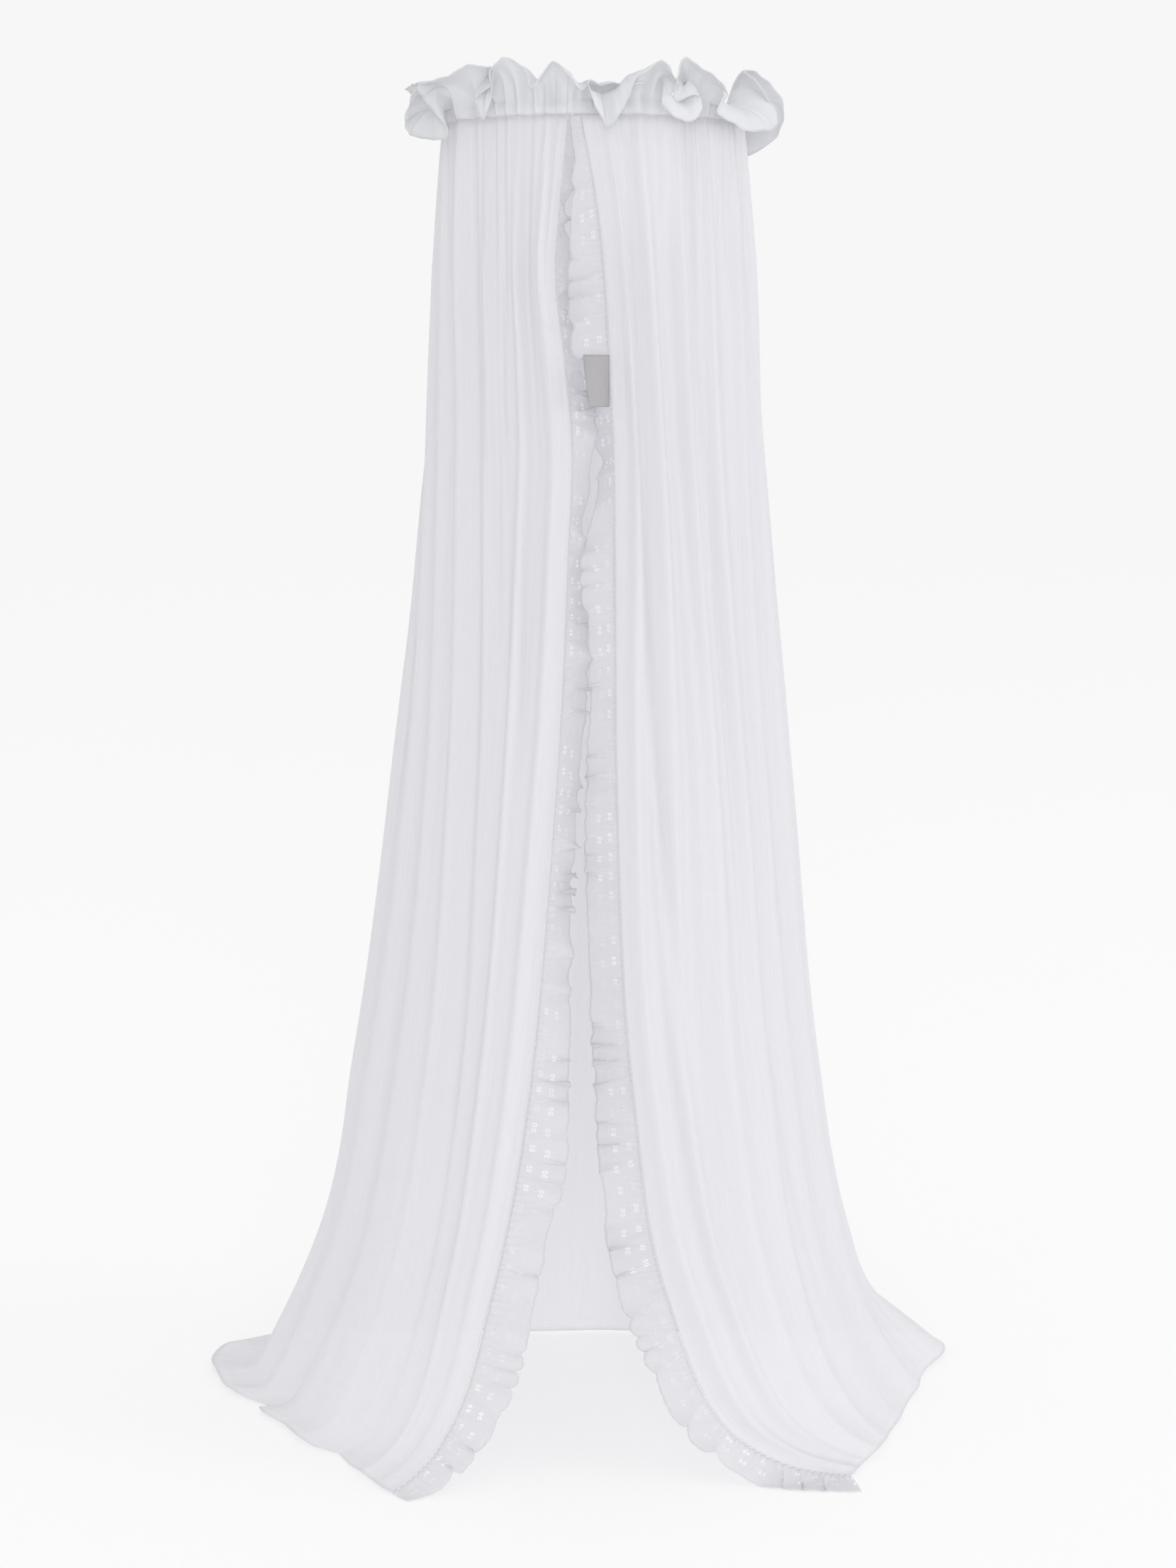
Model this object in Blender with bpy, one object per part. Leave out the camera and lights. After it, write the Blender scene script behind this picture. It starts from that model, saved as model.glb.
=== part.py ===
"""Bed canopy: a sheer cloth gathered on a round hoop, open at the front, with a frill above the gathering.

Units are metres, +Z is up, +X is to the right and the opening faces -Y. The origin is the middle of the hoop,
in the plane of the gathering seam. The floor that the hem trails on lies DROP below it.
"""

import math
from collections import namedtuple

import bmesh
import bpy
import numpy as np

HOOP_RADIUS = 0.165
DROP = 1.468
CLOTH_THICKNESS = 0.0014
FRILL_THICKNESS = 0.0014
TRIM_THICKNESS = 0.0012
LABEL_THICKNESS = 0.0012

# The cloth's two front edges meet at the hoop a little left of the middle, at these bearings from the front.
LEFT_EDGE_BEARING = -9.5
RIGHT_EDGE_BEARING = -4.5

# Stations down the cloth, as shares of its length below the seam, and how far the upper ones hang down.
WAIST_SHARE = 0.45
SKIRT_SHARE = 0.66
KNEE_SHARE = 0.80
ANKLE_SHARE = 0.91
TOE_SHARE = 0.94
WAIST_DROP = 0.710
SKIRT_DROP = 1.050
KNEE_DROP = 1.262
STATIONS = np.array([0.0, WAIST_SHARE, SKIRT_SHARE, KNEE_SHARE, ANKLE_SHARE, TOE_SHARE, 1.0])

# Lines that run down the cloth, from the left front edge round the back to the right front edge. share is the
# place across the cut cloth, and the rest is where the line passes its waist, knee, ankle and hem. skirt is how
# much of the way from waist to knee it has gone out at its skirt, and toe the same from ankle to hem at its toe.
Guide = namedtuple(
    "Guide", "share waist_x waist_y skirt knee_x knee_y ankle_x ankle_y ankle_height toe toe_height hem_x hem_y"
)
GUIDES = [
    Guide(0.000, -0.041, -0.218, 0.50, -0.108, -0.260, -0.144, -0.274, 0.066, 0.30, 0.036, -0.203, -0.326),
    Guide(0.060, -0.088, -0.205, 0.48, -0.155, -0.235, -0.198, -0.245, 0.052, 0.32, 0.026, -0.250, -0.268),
    Guide(0.140, -0.148, -0.165, 0.47, -0.216, -0.185, -0.268, -0.175, 0.050, 0.32, 0.022, -0.313, -0.178),
    Guide(0.210, -0.191, -0.105, 0.50, -0.269, -0.105, -0.330, -0.080, 0.052, 0.30, 0.020, -0.385, -0.058),
    Guide(0.270, -0.213, -0.035, 0.53, -0.300, -0.020, -0.364, 0.010, 0.056, 0.28, 0.016, -0.440, 0.030),
    Guide(0.330, -0.212, 0.045, 0.53, -0.306, 0.070, -0.370, 0.105, 0.058, 0.27, 0.013, -0.458, 0.140),
    Guide(0.375, -0.190, 0.100, 0.52, -0.276, 0.140, -0.326, 0.180, 0.055, 0.30, 0.018, -0.385, 0.212),
    Guide(0.430, -0.130, 0.165, 0.55, -0.180, 0.190, -0.200, 0.207, 0.090, 0.35, 0.058, -0.214, 0.218),
    Guide(0.500, 0.000, 0.196, 0.57, 0.000, 0.212, 0.000, 0.219, 0.100, 0.39, 0.066, 0.000, 0.222),
    Guide(0.570, 0.130, 0.165, 0.52, 0.175, 0.190, 0.192, 0.207, 0.090, 0.35, 0.058, 0.208, 0.218),
    Guide(0.625, 0.190, 0.100, 0.48, 0.262, 0.140, 0.308, 0.180, 0.070, 0.40, 0.040, 0.370, 0.212),
    Guide(0.670, 0.213, 0.045, 0.46, 0.285, 0.080, 0.343, 0.130, 0.078, 0.42, 0.047, 0.431, 0.172),
    Guide(0.730, 0.215, -0.030, 0.46, 0.285, -0.010, 0.335, 0.030, 0.078, 0.42, 0.042, 0.396, 0.060),
    Guide(0.800, 0.192, -0.100, 0.46, 0.258, -0.100, 0.308, -0.085, 0.072, 0.38, 0.038, 0.357, -0.085),
    Guide(0.870, 0.145, -0.165, 0.44, 0.210, -0.180, 0.262, -0.180, 0.062, 0.35, 0.034, 0.322, -0.185),
    Guide(0.940, 0.083, -0.205, 0.38, 0.145, -0.235, 0.212, -0.246, 0.052, 0.33, 0.027, 0.298, -0.240),
    Guide(1.000, 0.028, -0.218, 0.36, 0.083, -0.260, 0.158, -0.274, 0.046, 0.32, 0.023, 0.278, -0.276),
]

# How far the hem on the floor runs out past its guides, in millimetres, at places across the cloth: the left
# train ends in three uneven scallops.
Scallop = namedtuple("Scallop", "share out")
SCALLOPS = [
    Scallop(0.000, 0),
    Scallop(0.085, 0),
    Scallop(0.114, -7),
    Scallop(0.135, 7),
    Scallop(0.150, 9),
    Scallop(0.175, 4),
    Scallop(0.195, 12),
    Scallop(0.207, 7),
    Scallop(0.214, -11),
    Scallop(0.226, 0),
    Scallop(0.240, 5),
    Scallop(0.256, 5),
    Scallop(0.290, 0),
    Scallop(1.000, 0),
]

# How far the two front edges bow sideways from the straight below the seam, in millimetres with right as plus.
# The bow fades out over BOW_FADE of the cloth's width.
Bow = namedtuple("Bow", "share left right")
BOWS = [
    Bow(0.00, 0, 0),
    Bow(0.05, -7, 11),
    Bow(0.11, -13, 17),
    Bow(0.16, -4, 17),
    Bow(0.22, 5, 16),
    Bow(0.30, 2, 11),
    Bow(0.45, 0, 0),
    Bow(0.72, 0, 0),
    Bow(0.82, -6, 0),
    Bow(0.90, -10, 2),
    Bow(1.00, -15, 4),
]
BOW_FADE = 0.05

# Small soft folds that run down the cloth: the share of the width where each has its crest, and how far it stands
# out there, in millimetres, just under the seam, at the waist, at the knee and at the hem.
Fold = namedtuple("Fold", "share shoulder waist knee hem")
FOLDS = [
    Fold(-0.020, 2, 2, 2, 1),
    Fold(0.022, 6, 5, 3, 2),
    Fold(0.058, 7, 6, 4, 2),
    Fold(0.098, 5, 4, 2, 1),
    Fold(0.142, 8, 6, 3, 2),
    Fold(0.190, 6, 4, 2, 1),
    Fold(0.240, 8, 6, 4, 3),
    Fold(0.292, 7, 5, 3, 2),
    Fold(0.343, 6, 7, 5, 3),
    Fold(0.392, 8, 9, 5, 3),
    Fold(0.445, 6, 11, 8, 3),
    Fold(0.497, 7, 9, 4, 2),
    Fold(0.552, 6, 11, 8, 3),
    Fold(0.603, 8, 10, 5, 3),
    Fold(0.655, 7, 8, 5, 3),
    Fold(0.706, 6, 5, 3, 2),
    Fold(0.757, 8, 6, 4, 3),
    Fold(0.806, 7, 5, 2, 1),
    Fold(0.853, 6, 6, 4, 2),
    Fold(0.897, 8, 5, 3, 1),
    Fold(0.938, 6, 6, 4, 2),
    Fold(0.978, 8, 6, 4, 2),
    Fold(1.020, 2, 2, 2, 1),
]
SHOULDER_SHARE = 0.10
SEAM_WAVE = 0.0025
FOLD_STEPS = 4
FOLD_DRIFT = 0.11

# The broad bands that the small folds lie on: how far the cloth stands out there, in millimetres, at the waist, at
# the knee and at the hem. They start below the shoulder, and both panels turn in towards the opening.
Band = namedtuple("Band", "share waist knee hem")
BANDS = [
    Band(0.000, -3, -5, -2),
    Band(0.020, -1, -1, 0),
    Band(0.058, 4, 6, 4),
    Band(0.105, -4, -6, -2),
    Band(0.160, 6, 9, 6),
    Band(0.215, -1, -1, 0),
    Band(0.270, 6, 8, 6),
    Band(0.340, 5, 7, 5),
    Band(0.410, 1, 2, 0),
    Band(0.590, 1, 2, 0),
    Band(0.660, 4, 7, 5),
    Band(0.730, 6, 8, 6),
    Band(0.800, 0, 0, 1),
    Band(0.860, 3, 4, 4),
    Band(0.905, 8, 11, 8),
    Band(0.948, -2, -4, -2),
    Band(0.972, 2, 2, 2),
    Band(1.000, -4, -7, -2),
]
BAND_SHARE = 0.22

# Rows of the cloth's mesh, closer together where it bends.
CLOTH_ROWS = [
    0.0, 0.025, 0.06, 0.11, 0.17, 0.24, 0.31, 0.38, 0.45, 0.52,
    0.59, 0.66, 0.72, 0.77, 0.81, 0.85, 0.89, 0.925, 0.96, 1.0,
]  # fmt: skip

# The frill above the seam: for each crest and dip of its free edge, the bearing from the front at the seam and
# at the free edge, in degrees with right as plus, and its rise above the seam and reach past it, in millimetres.
Lobe = namedtuple("Lobe", "seam_bearing edge_bearing rise reach")
LOBES = [
    Lobe(-4, -3, 27, 58),
    Lobe(2, 1, 36, 50),
    Lobe(9, 8, 14, 60),
    Lobe(16, 14, 35, 50),
    Lobe(23, 21, 53, 38),
    Lobe(28, 26, 24, 58),
    Lobe(32, 27, 58, 32),
    Lobe(36, 34, 22, 58),
    Lobe(42, 39, 44, 46),
    Lobe(50, 47, 25, 60),
    Lobe(57, 56, 48, 38),
    Lobe(66, 64, 46, 40),
    Lobe(79, 78, 26, 48),
    Lobe(91, 92, 4, 50),
    Lobe(103, 101, -30, 26),
    Lobe(115, 118, 46, 42),
    Lobe(127, 126, 18, 58),
    Lobe(139, 141, 52, 38),
    Lobe(152, 150, 24, 60),
    Lobe(163, 166, 48, 42),
    Lobe(176, 175, 16, 60),
    Lobe(188, 187, 54, 36),
    Lobe(199, 201, 26, 58),
    Lobe(211, 209, 50, 42),
    Lobe(223, 224, 14, 60),
    Lobe(234, 236, 48, 40),
    Lobe(246, 246, 30, 52),
    Lobe(257, 259, -8, 38),
    Lobe(270, 272, 20, 46),
    Lobe(283, 289, 34, 46),
    Lobe(294, 298, 20, 56),
    Lobe(304, 306, 39, 46),
    Lobe(313, 319, 51, 40),
    Lobe(321, 321, 32, 56),
    Lobe(328, 327, 50, 42),
    Lobe(334, 333, 57, 34),
    Lobe(341, 340, 27, 58),
    Lobe(348, 347, 53, 38),
    Lobe(355.2, 356.2, 26, 58),
]
LOBE_STEPS = 3
FRILL_ROWS = [0.0, 0.28, 0.62, 1.0]
FRILL_CUT_HEIGHT = 0.072
FRILL_LEAN = 1.5

# The eyelet trims sewn to the two front edges. Each row says how wide the trim shows from the front at a place
# down the edge, and how far it is turned out of the plane of the edge, in degrees, with minus towards the inside.
TrimStretch = namedtuple("TrimStretch", "share shown turn")
LEFT_TRIM = [
    TrimStretch(0.00, 0.008, -60),
    TrimStretch(0.07, 0.014, -60),
    TrimStretch(0.12, 0.021, -55),
    TrimStretch(0.18, 0.016, -45),
    TrimStretch(0.205, 0.026, -20),
    TrimStretch(0.26, 0.017, -40),
    TrimStretch(0.30, 0.016, -55),
    TrimStretch(0.35, 0.026, -42),
    TrimStretch(0.47, 0.025, -43),
    TrimStretch(0.60, 0.030, -40),
    TrimStretch(0.69, 0.043, -15),
    TrimStretch(0.74, 0.050, 0),
    TrimStretch(0.80, 0.044, -10),
    TrimStretch(0.86, 0.048, 0),
    TrimStretch(0.93, 0.043, 0),
    TrimStretch(0.97, 0.034, 0),
    TrimStretch(1.00, 0.024, 0),
]
RIGHT_TRIM = [
    TrimStretch(0.00, 0.006, 0),
    TrimStretch(0.045, 0.020, 8),
    TrimStretch(0.12, 0.037, 5),
    TrimStretch(0.16, 0.034, 3),
    TrimStretch(0.18, 0.022, -25),
    TrimStretch(0.205, 0.018, -60),
    TrimStretch(0.26, 0.019, -45),
    TrimStretch(0.30, 0.034, 0),
    TrimStretch(0.36, 0.026, -12),
    TrimStretch(0.47, 0.034, -28),
    TrimStretch(0.60, 0.036, -28),
    TrimStretch(0.73, 0.046, -12),
    TrimStretch(0.80, 0.047, 0),
    TrimStretch(0.87, 0.038, 0),
    TrimStretch(0.93, 0.034, 0),
    TrimStretch(0.965, 0.041, 0),
    TrimStretch(1.00, 0.040, 0),
]
TRIM_WAVE_PITCH = 0.026
TRIM_WAVE = 0.0052
TRIM_SEAM_WAVE = 0.0012
TRIM_SCALLOP = 0.0030
TRIM_CALM_SHARE = 0.05
TRIM_STEPS = 3
TRIM_ROWS = [0.0, 0.5, 1.0]
SEAM_GAP = 0.0012

# A plain woven tag, sewn in with the right trim.
LABEL_WIDTH = 0.028
LABEL_LENGTH = 0.055
LABEL_TOP = -0.254
LABEL_SEWN_X = 0.0175
LABEL_SEWN_Y = -0.1838
LABEL_SEWN_SLOPE = -0.0026
LABEL_TURN_TOP = 8
LABEL_TURN_BOTTOM = 42
LABEL_BOW = 0.0015

MUSLIN = ("sheer muslin", (0.80, 0.80, 0.83, 1.0), 0.85)
FRILL_MUSLIN = ("doubled muslin", (0.74, 0.74, 0.77, 1.0), 0.85)
EYELET_LACE = ("eyelet cotton", (0.82, 0.82, 0.84, 1.0), 0.80)
LABEL_WEAVE = ("grey label weave", (0.49, 0.48, 0.49, 1.0), 0.75)


def smooth_through(knots, values, at):
    """Points at the places `at` on a smooth curve through the knots."""
    knots = np.asarray(knots, float)
    values = np.asarray(values, float)
    at = np.asarray(at, float)
    slopes = np.gradient(values, knots, axis=0)
    span = np.clip(np.searchsorted(knots, at, side="right") - 1, 0, len(knots) - 2)
    shape = (-1,) + (1,) * (values.ndim - 1)
    width = (knots[span + 1] - knots[span]).reshape(shape)
    t = ((at - knots[span]).reshape(shape)) / width
    start = values[span] * (1 + 2 * t) * (1 - t) ** 2
    end = values[span + 1] * t**2 * (3 - 2 * t)
    leave = slopes[span] * width * t * (1 - t) ** 2
    arrive = slopes[span + 1] * width * t**2 * (t - 1)
    return start + end + leave + arrive


def unit(vectors):
    """The vectors, each made one long."""
    return vectors / np.linalg.norm(vectors, axis=-1, keepdims=True)


def column(table, name):
    """One named column of a table, as an array."""
    return np.array([getattr(row, name) for row in table], float)


def hoop_point(bearing, radius, height):
    """Points at bearings from the front, in degrees with right as plus."""
    angle = np.radians(bearing)
    return np.stack(
        [radius * np.sin(angle), -radius * np.cos(angle), np.broadcast_to(height, angle.shape)], -1
    )


def guide_lines(rows):
    """Each guide's points at the given shares of its length, as an array of guide, row, coordinate."""
    share = column(GUIDES, "share")
    turn = 360 - (RIGHT_EDGE_BEARING - LEFT_EDGE_BEARING)
    ring = hoop_point(LEFT_EDGE_BEARING - share * turn, HOOP_RADIUS, -SEAM_GAP / 2)
    level = np.ones(len(GUIDES))
    waist = np.stack([column(GUIDES, "waist_x"), column(GUIDES, "waist_y"), -WAIST_DROP * level], -1)
    knee = np.stack([column(GUIDES, "knee_x"), column(GUIDES, "knee_y"), -KNEE_DROP * level], -1)
    skirt = waist + (knee - waist) * column(GUIDES, "skirt")[:, None]
    skirt[:, 2] = -SKIRT_DROP
    ankle_height = column(GUIDES, "ankle_height") - DROP
    ankle = np.stack([column(GUIDES, "ankle_x"), column(GUIDES, "ankle_y"), ankle_height], -1)
    hem = np.stack([column(GUIDES, "hem_x"), column(GUIDES, "hem_y"), -DROP * level], -1)
    toe = ankle + (hem - ankle) * column(GUIDES, "toe")[:, None]
    toe[:, 2] = column(GUIDES, "toe_height") - DROP
    stations = np.stack([ring, waist, skirt, knee, ankle, toe, hem])
    return smooth_through(STATIONS, stations, rows).swapaxes(0, 1)


def fold_wave(shares, rows):
    """How far the folds stand out from the guides, as an array of column, row."""
    crests = column(FOLDS, "share")
    depths = [column(FOLDS, name) / 1000 for name in ("shoulder", "waist", "knee", "hem")]
    stations = np.array([SHOULDER_SHARE, WAIST_SHARE, KNEE_SHARE, 1.0])
    down = smooth_through(stations, np.stack(depths), np.maximum(rows, SHOULDER_SHARE))
    start = np.clip(rows / SHOULDER_SHARE, 0, 1)[:, None]
    down = SEAM_WAVE * (1 - start) + down * start
    depth = smooth_through(crests, down.T, shares)
    place = np.interp(shares, crests, np.arange(len(crests)))[:, None]
    drift = FOLD_DRIFT * np.sin(2 * math.pi * (1.2 * rows[None, :] + 3.1 * shares[:, None]))
    return depth * np.cos(2 * math.pi * (place + drift * np.minimum(1, 4 * rows)[None, :]))


def band_wave(shares, rows):
    """How far the broad bands stand out from the guides, as an array of column, row."""
    levels = [column(BANDS, name) / 1000 for name in ("waist", "knee", "hem")]
    stations = np.array([BAND_SHARE, WAIST_SHARE, KNEE_SHARE, 1.0])
    down = smooth_through(stations, np.stack([0 * levels[0], *levels]), np.maximum(rows, BAND_SHARE))
    return smooth_through(column(BANDS, "share"), down.T, shares)


def surface_normals(points):
    """Directions square to a grid of points, outwards from the canopy and upwards on the floor."""
    along = np.gradient(points, axis=0)
    down = np.gradient(points, axis=1)
    return unit(np.cross(along, down))


def cloth_points(shares, rows):
    """The cloth's middle surface, as an array of column, row, coordinate."""
    shares = np.asarray(shares, float)
    rows = np.asarray(rows, float)
    points = smooth_through(column(GUIDES, "share"), guide_lines(rows), shares)
    for name, away in (("left", shares), ("right", 1 - shares)):
        bow = smooth_through(column(BOWS, "share"), column(BOWS, name) / 1000, rows)
        points[..., 0] += np.exp(-((away / BOW_FADE) ** 2))[:, None] * bow[None, :]
    ends = smooth_through(column(GUIDES, "share"), guide_lines(np.array([ANKLE_SHARE, 1.0])), shares)
    outwards = unit(ends[:, 1, :2] - ends[:, 0, :2])
    scallop = np.interp(shares, column(SCALLOPS, "share"), column(SCALLOPS, "out") / 1000)
    lying = np.clip((rows - ANKLE_SHARE) / (1 - ANKLE_SHARE), 0, 1) ** 2
    points[..., :2] += (outwards * scallop[:, None])[:, None, :] * lying[None, :, None]
    stand = fold_wave(shares, rows) + band_wave(shares, rows)
    points = points + surface_normals(points) * stand[..., None]
    points[..., 2] = np.maximum(points[..., 2], -DROP + CLOTH_THICKNESS / 2)
    return points


def cloth_shares():
    """Columns of the cloth's mesh: the crests, the dips and the slopes between them."""
    crests = column(FOLDS, "share")
    steps = np.arange((len(crests) - 1) * FOLD_STEPS + 1) / FOLD_STEPS
    shares = np.interp(steps, np.arange(len(crests)), crests)
    inner = shares[(shares > 0.004) & (shares < 0.996)]
    return np.concatenate([[0.0], inner, [1.0]])


def frill_points():
    """The frill's middle surface, as an array of column, row, coordinate."""
    places = np.arange(len(LOBES), dtype=float)
    steps = np.linspace(0, places[-1], LOBE_STEPS * (len(LOBES) - 1) + 1)
    seam = smooth_through(places, column(LOBES, "seam_bearing"), steps)
    edge = smooth_through(places, column(LOBES, "edge_bearing"), steps)
    rise = smooth_through(places, column(LOBES, "rise") / 1000, steps)
    reach = smooth_through(places, column(LOBES, "reach") / 1000, steps)
    spare = np.maximum(FRILL_CUT_HEIGHT**2 - rise**2 - reach**2, 0)
    arch = 0.45 * np.sqrt(spare)
    grid = []
    for row in FRILL_ROWS:
        bearing = seam + (edge - seam) * row
        radius = HOOP_RADIUS + reach * row**FRILL_LEAN
        height = SEAM_GAP / 2 + rise * row + arch * 4 * row * (1 - row)
        grid.append(hoop_point(bearing, radius, height))
    return np.stack(grid, 1)


def trim_points(side, stretches):
    """One trim's middle surface, from the front edge at share `side` of the cloth towards the opening."""
    edge = cloth_points(cloth_shares(), CLOTH_ROWS)[0 if side == 0 else -1]
    lengths = np.concatenate([[0.0], np.cumsum(np.linalg.norm(np.diff(edge, axis=0), axis=1))])
    waves = round(lengths[-1] / TRIM_WAVE_PITCH)
    at = np.linspace(0, lengths[-1], waves * TRIM_STEPS + 1)
    path = np.stack([np.interp(at, lengths, edge[:, axis]) for axis in range(3)], -1)
    share = at / lengths[-1]
    smooth = smooth_through(lengths, edge, at)
    tangent = unit(np.gradient(smooth, axis=0))
    table = column(stretches, "share")
    turn = np.radians(smooth_through(table, column(stretches, "turn"), share))
    width = smooth_through(table, column(stretches, "shown"), share) / np.cos(turn)
    lying = np.clip((share - KNEE_SHARE) / (1 - KNEE_SHARE), 0, 1)
    facing = unit(np.stack([0 * lying, lying - 1, 0.9 * lying], -1))
    facing = unit(facing - tangent * (facing * tangent).sum(-1, keepdims=True))
    across = np.cross(tangent, facing) * (-1 if side == 0 else 1)
    out = across * np.cos(turn)[:, None] + facing * np.sin(turn)[:, None]
    square = facing * np.cos(turn)[:, None] - across * np.sin(turn)[:, None]
    phase = 2 * math.pi * (at / lengths[-1] * waves + 0.16 * np.sin(at * 21) + 0.25 * side)
    wave = np.sin(phase) * (0.8 + 0.2 * np.sin(at * 13)) * np.clip(share / TRIM_CALM_SHARE, 0.2, 1)
    free = width + TRIM_SCALLOP * np.cos(phase + 0.9)
    grid = []
    for row in TRIM_ROWS:
        stand = (TRIM_SEAM_WAVE + (TRIM_WAVE - TRIM_SEAM_WAVE) * row) * wave
        grid.append(path + out * (SEAM_GAP + free * row)[:, None] + square * stand[:, None])
    points = np.stack(grid, 1)
    points[..., 2] = np.maximum(points[..., 2], -DROP + TRIM_THICKNESS / 2)
    return points


def label_points():
    """The tag, from its sewn edge to its free edge."""
    across = np.linspace(0, 1, 4)
    down = np.linspace(0, 1, 4)
    grid = []
    for row in down:
        turn = math.radians(LABEL_TURN_TOP + (LABEL_TURN_BOTTOM - LABEL_TURN_TOP) * row)
        bow = LABEL_BOW * np.sin(math.pi * across)
        x = LABEL_SEWN_X - LABEL_WIDTH * across * math.cos(turn) - bow * math.sin(turn)
        y = LABEL_SEWN_Y + LABEL_SEWN_SLOPE * row - LABEL_WIDTH * across * math.sin(turn) - bow * math.cos(turn)
        z = LABEL_TOP - LABEL_LENGTH * row + 0 * across
        grid.append(np.stack([x, y, z], -1))
    return np.stack(grid, 1)


def material(name, colour, roughness):
    """A plain material for a sub-part."""
    made = bpy.data.materials.new(name)
    made.use_nodes = True
    shader = made.node_tree.nodes["Principled BSDF"]
    shader.inputs["Base Color"].default_value = colour
    shader.inputs["Roughness"].default_value = roughness
    return made


def sheet(name, points, thickness, finish):
    """A named object: a sheet through a grid of points, given its thickness to both sides."""
    body = bmesh.new()
    corners = [[body.verts.new(point) for point in line] for line in points]
    for here, there in zip(corners, corners[1:]):
        for row in range(len(here) - 1):
            body.faces.new((here[row], here[row + 1], there[row + 1], there[row]))
    mesh = bpy.data.meshes.new(name)
    body.to_mesh(mesh)
    body.free()
    mesh.shade_smooth()
    made = bpy.data.objects.new(name, mesh)
    bpy.context.scene.collection.objects.link(made)
    made.data.materials.append(material(*finish))
    solid = made.modifiers.new("thickness", "SOLIDIFY")
    solid.thickness = thickness
    solid.offset = 0
    return made


def main():
    for old in list(bpy.data.objects):
        bpy.data.objects.remove(old)
    sheet("canopy_cloth", cloth_points(cloth_shares(), CLOTH_ROWS), CLOTH_THICKNESS, MUSLIN)
    sheet("heading_frill", frill_points(), FRILL_THICKNESS, FRILL_MUSLIN)
    sheet("left_trim", trim_points(0, LEFT_TRIM), TRIM_THICKNESS, EYELET_LACE)
    sheet("right_trim", trim_points(1, RIGHT_TRIM), TRIM_THICKNESS, EYELET_LACE)
    sheet("label", label_points(), LABEL_THICKNESS, LABEL_WEAVE)


main()
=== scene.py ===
"""Bed canopy: a sheer cloth gathered on a hoop, its ruffled heading, two eyelet ruffles and a woven tag.

Units are metres, +Z is up, +X is to the right and the opening faces -Y. The origin is the middle of the hoop,
in the plane of the gathering seam.
"""

import math
from collections import namedtuple

import bpy
import numpy as np
from bpy.props import FloatProperty, FloatVectorProperty, IntProperty, PointerProperty
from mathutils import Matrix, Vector


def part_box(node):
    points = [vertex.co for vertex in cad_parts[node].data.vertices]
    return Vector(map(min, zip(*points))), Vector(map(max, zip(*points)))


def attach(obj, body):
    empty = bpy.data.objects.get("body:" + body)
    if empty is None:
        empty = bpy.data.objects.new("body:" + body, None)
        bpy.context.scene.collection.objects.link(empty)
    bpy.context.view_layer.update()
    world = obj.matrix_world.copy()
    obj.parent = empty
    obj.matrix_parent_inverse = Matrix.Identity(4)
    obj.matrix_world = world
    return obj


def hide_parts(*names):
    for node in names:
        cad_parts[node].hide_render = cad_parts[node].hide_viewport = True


bl_info = {
    "name": "Bed canopy",
    "version": (1, 0, 0),
    "blender": (4, 5, 0),
    "location": "3D View > Sidebar > Canopy",
    "description": "Makes a gathered bed canopy with a frill and eyelet ruffles",
    "category": "Add Mesh",
}

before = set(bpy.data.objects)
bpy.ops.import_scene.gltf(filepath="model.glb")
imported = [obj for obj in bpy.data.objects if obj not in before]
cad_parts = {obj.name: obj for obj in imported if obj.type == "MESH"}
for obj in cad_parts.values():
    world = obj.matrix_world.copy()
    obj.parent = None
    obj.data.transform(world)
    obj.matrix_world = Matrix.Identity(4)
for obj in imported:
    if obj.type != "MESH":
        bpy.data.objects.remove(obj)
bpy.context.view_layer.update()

HOOP_RADIUS = 0.165
DROP = -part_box("canopy_cloth")[0].z
SEAM_GAP = 0.0012
FLOOR_CLEARANCE = 0.0012
# The height over which the cloth bends softly onto the floor.
FLOOR_SOFTNESS = 0.004

# The cloth's two front edges meet at the hoop a little left of the middle, at these bearings from the
# front.
LEFT_EDGE_BEARING = -9.5
RIGHT_EDGE_BEARING = -4.5
HOOP_TURN = 360 - (RIGHT_EDGE_BEARING - LEFT_EDGE_BEARING)

# Stations down the cloth, as shares of its length below the seam, and how far the upper ones hang down.
WAIST_SHARE = 0.45
SKIRT_SHARE = 0.66
KNEE_SHARE = 0.80
ANKLE_SHARE = 0.91
TOE_SHARE = 0.94
WAIST_DROP = 0.710
SKIRT_DROP = 1.050
KNEE_DROP = 1.262
STATIONS = np.array([0.0, WAIST_SHARE, SKIRT_SHARE, KNEE_SHARE, ANKLE_SHARE, TOE_SHARE, 1.0])

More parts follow.
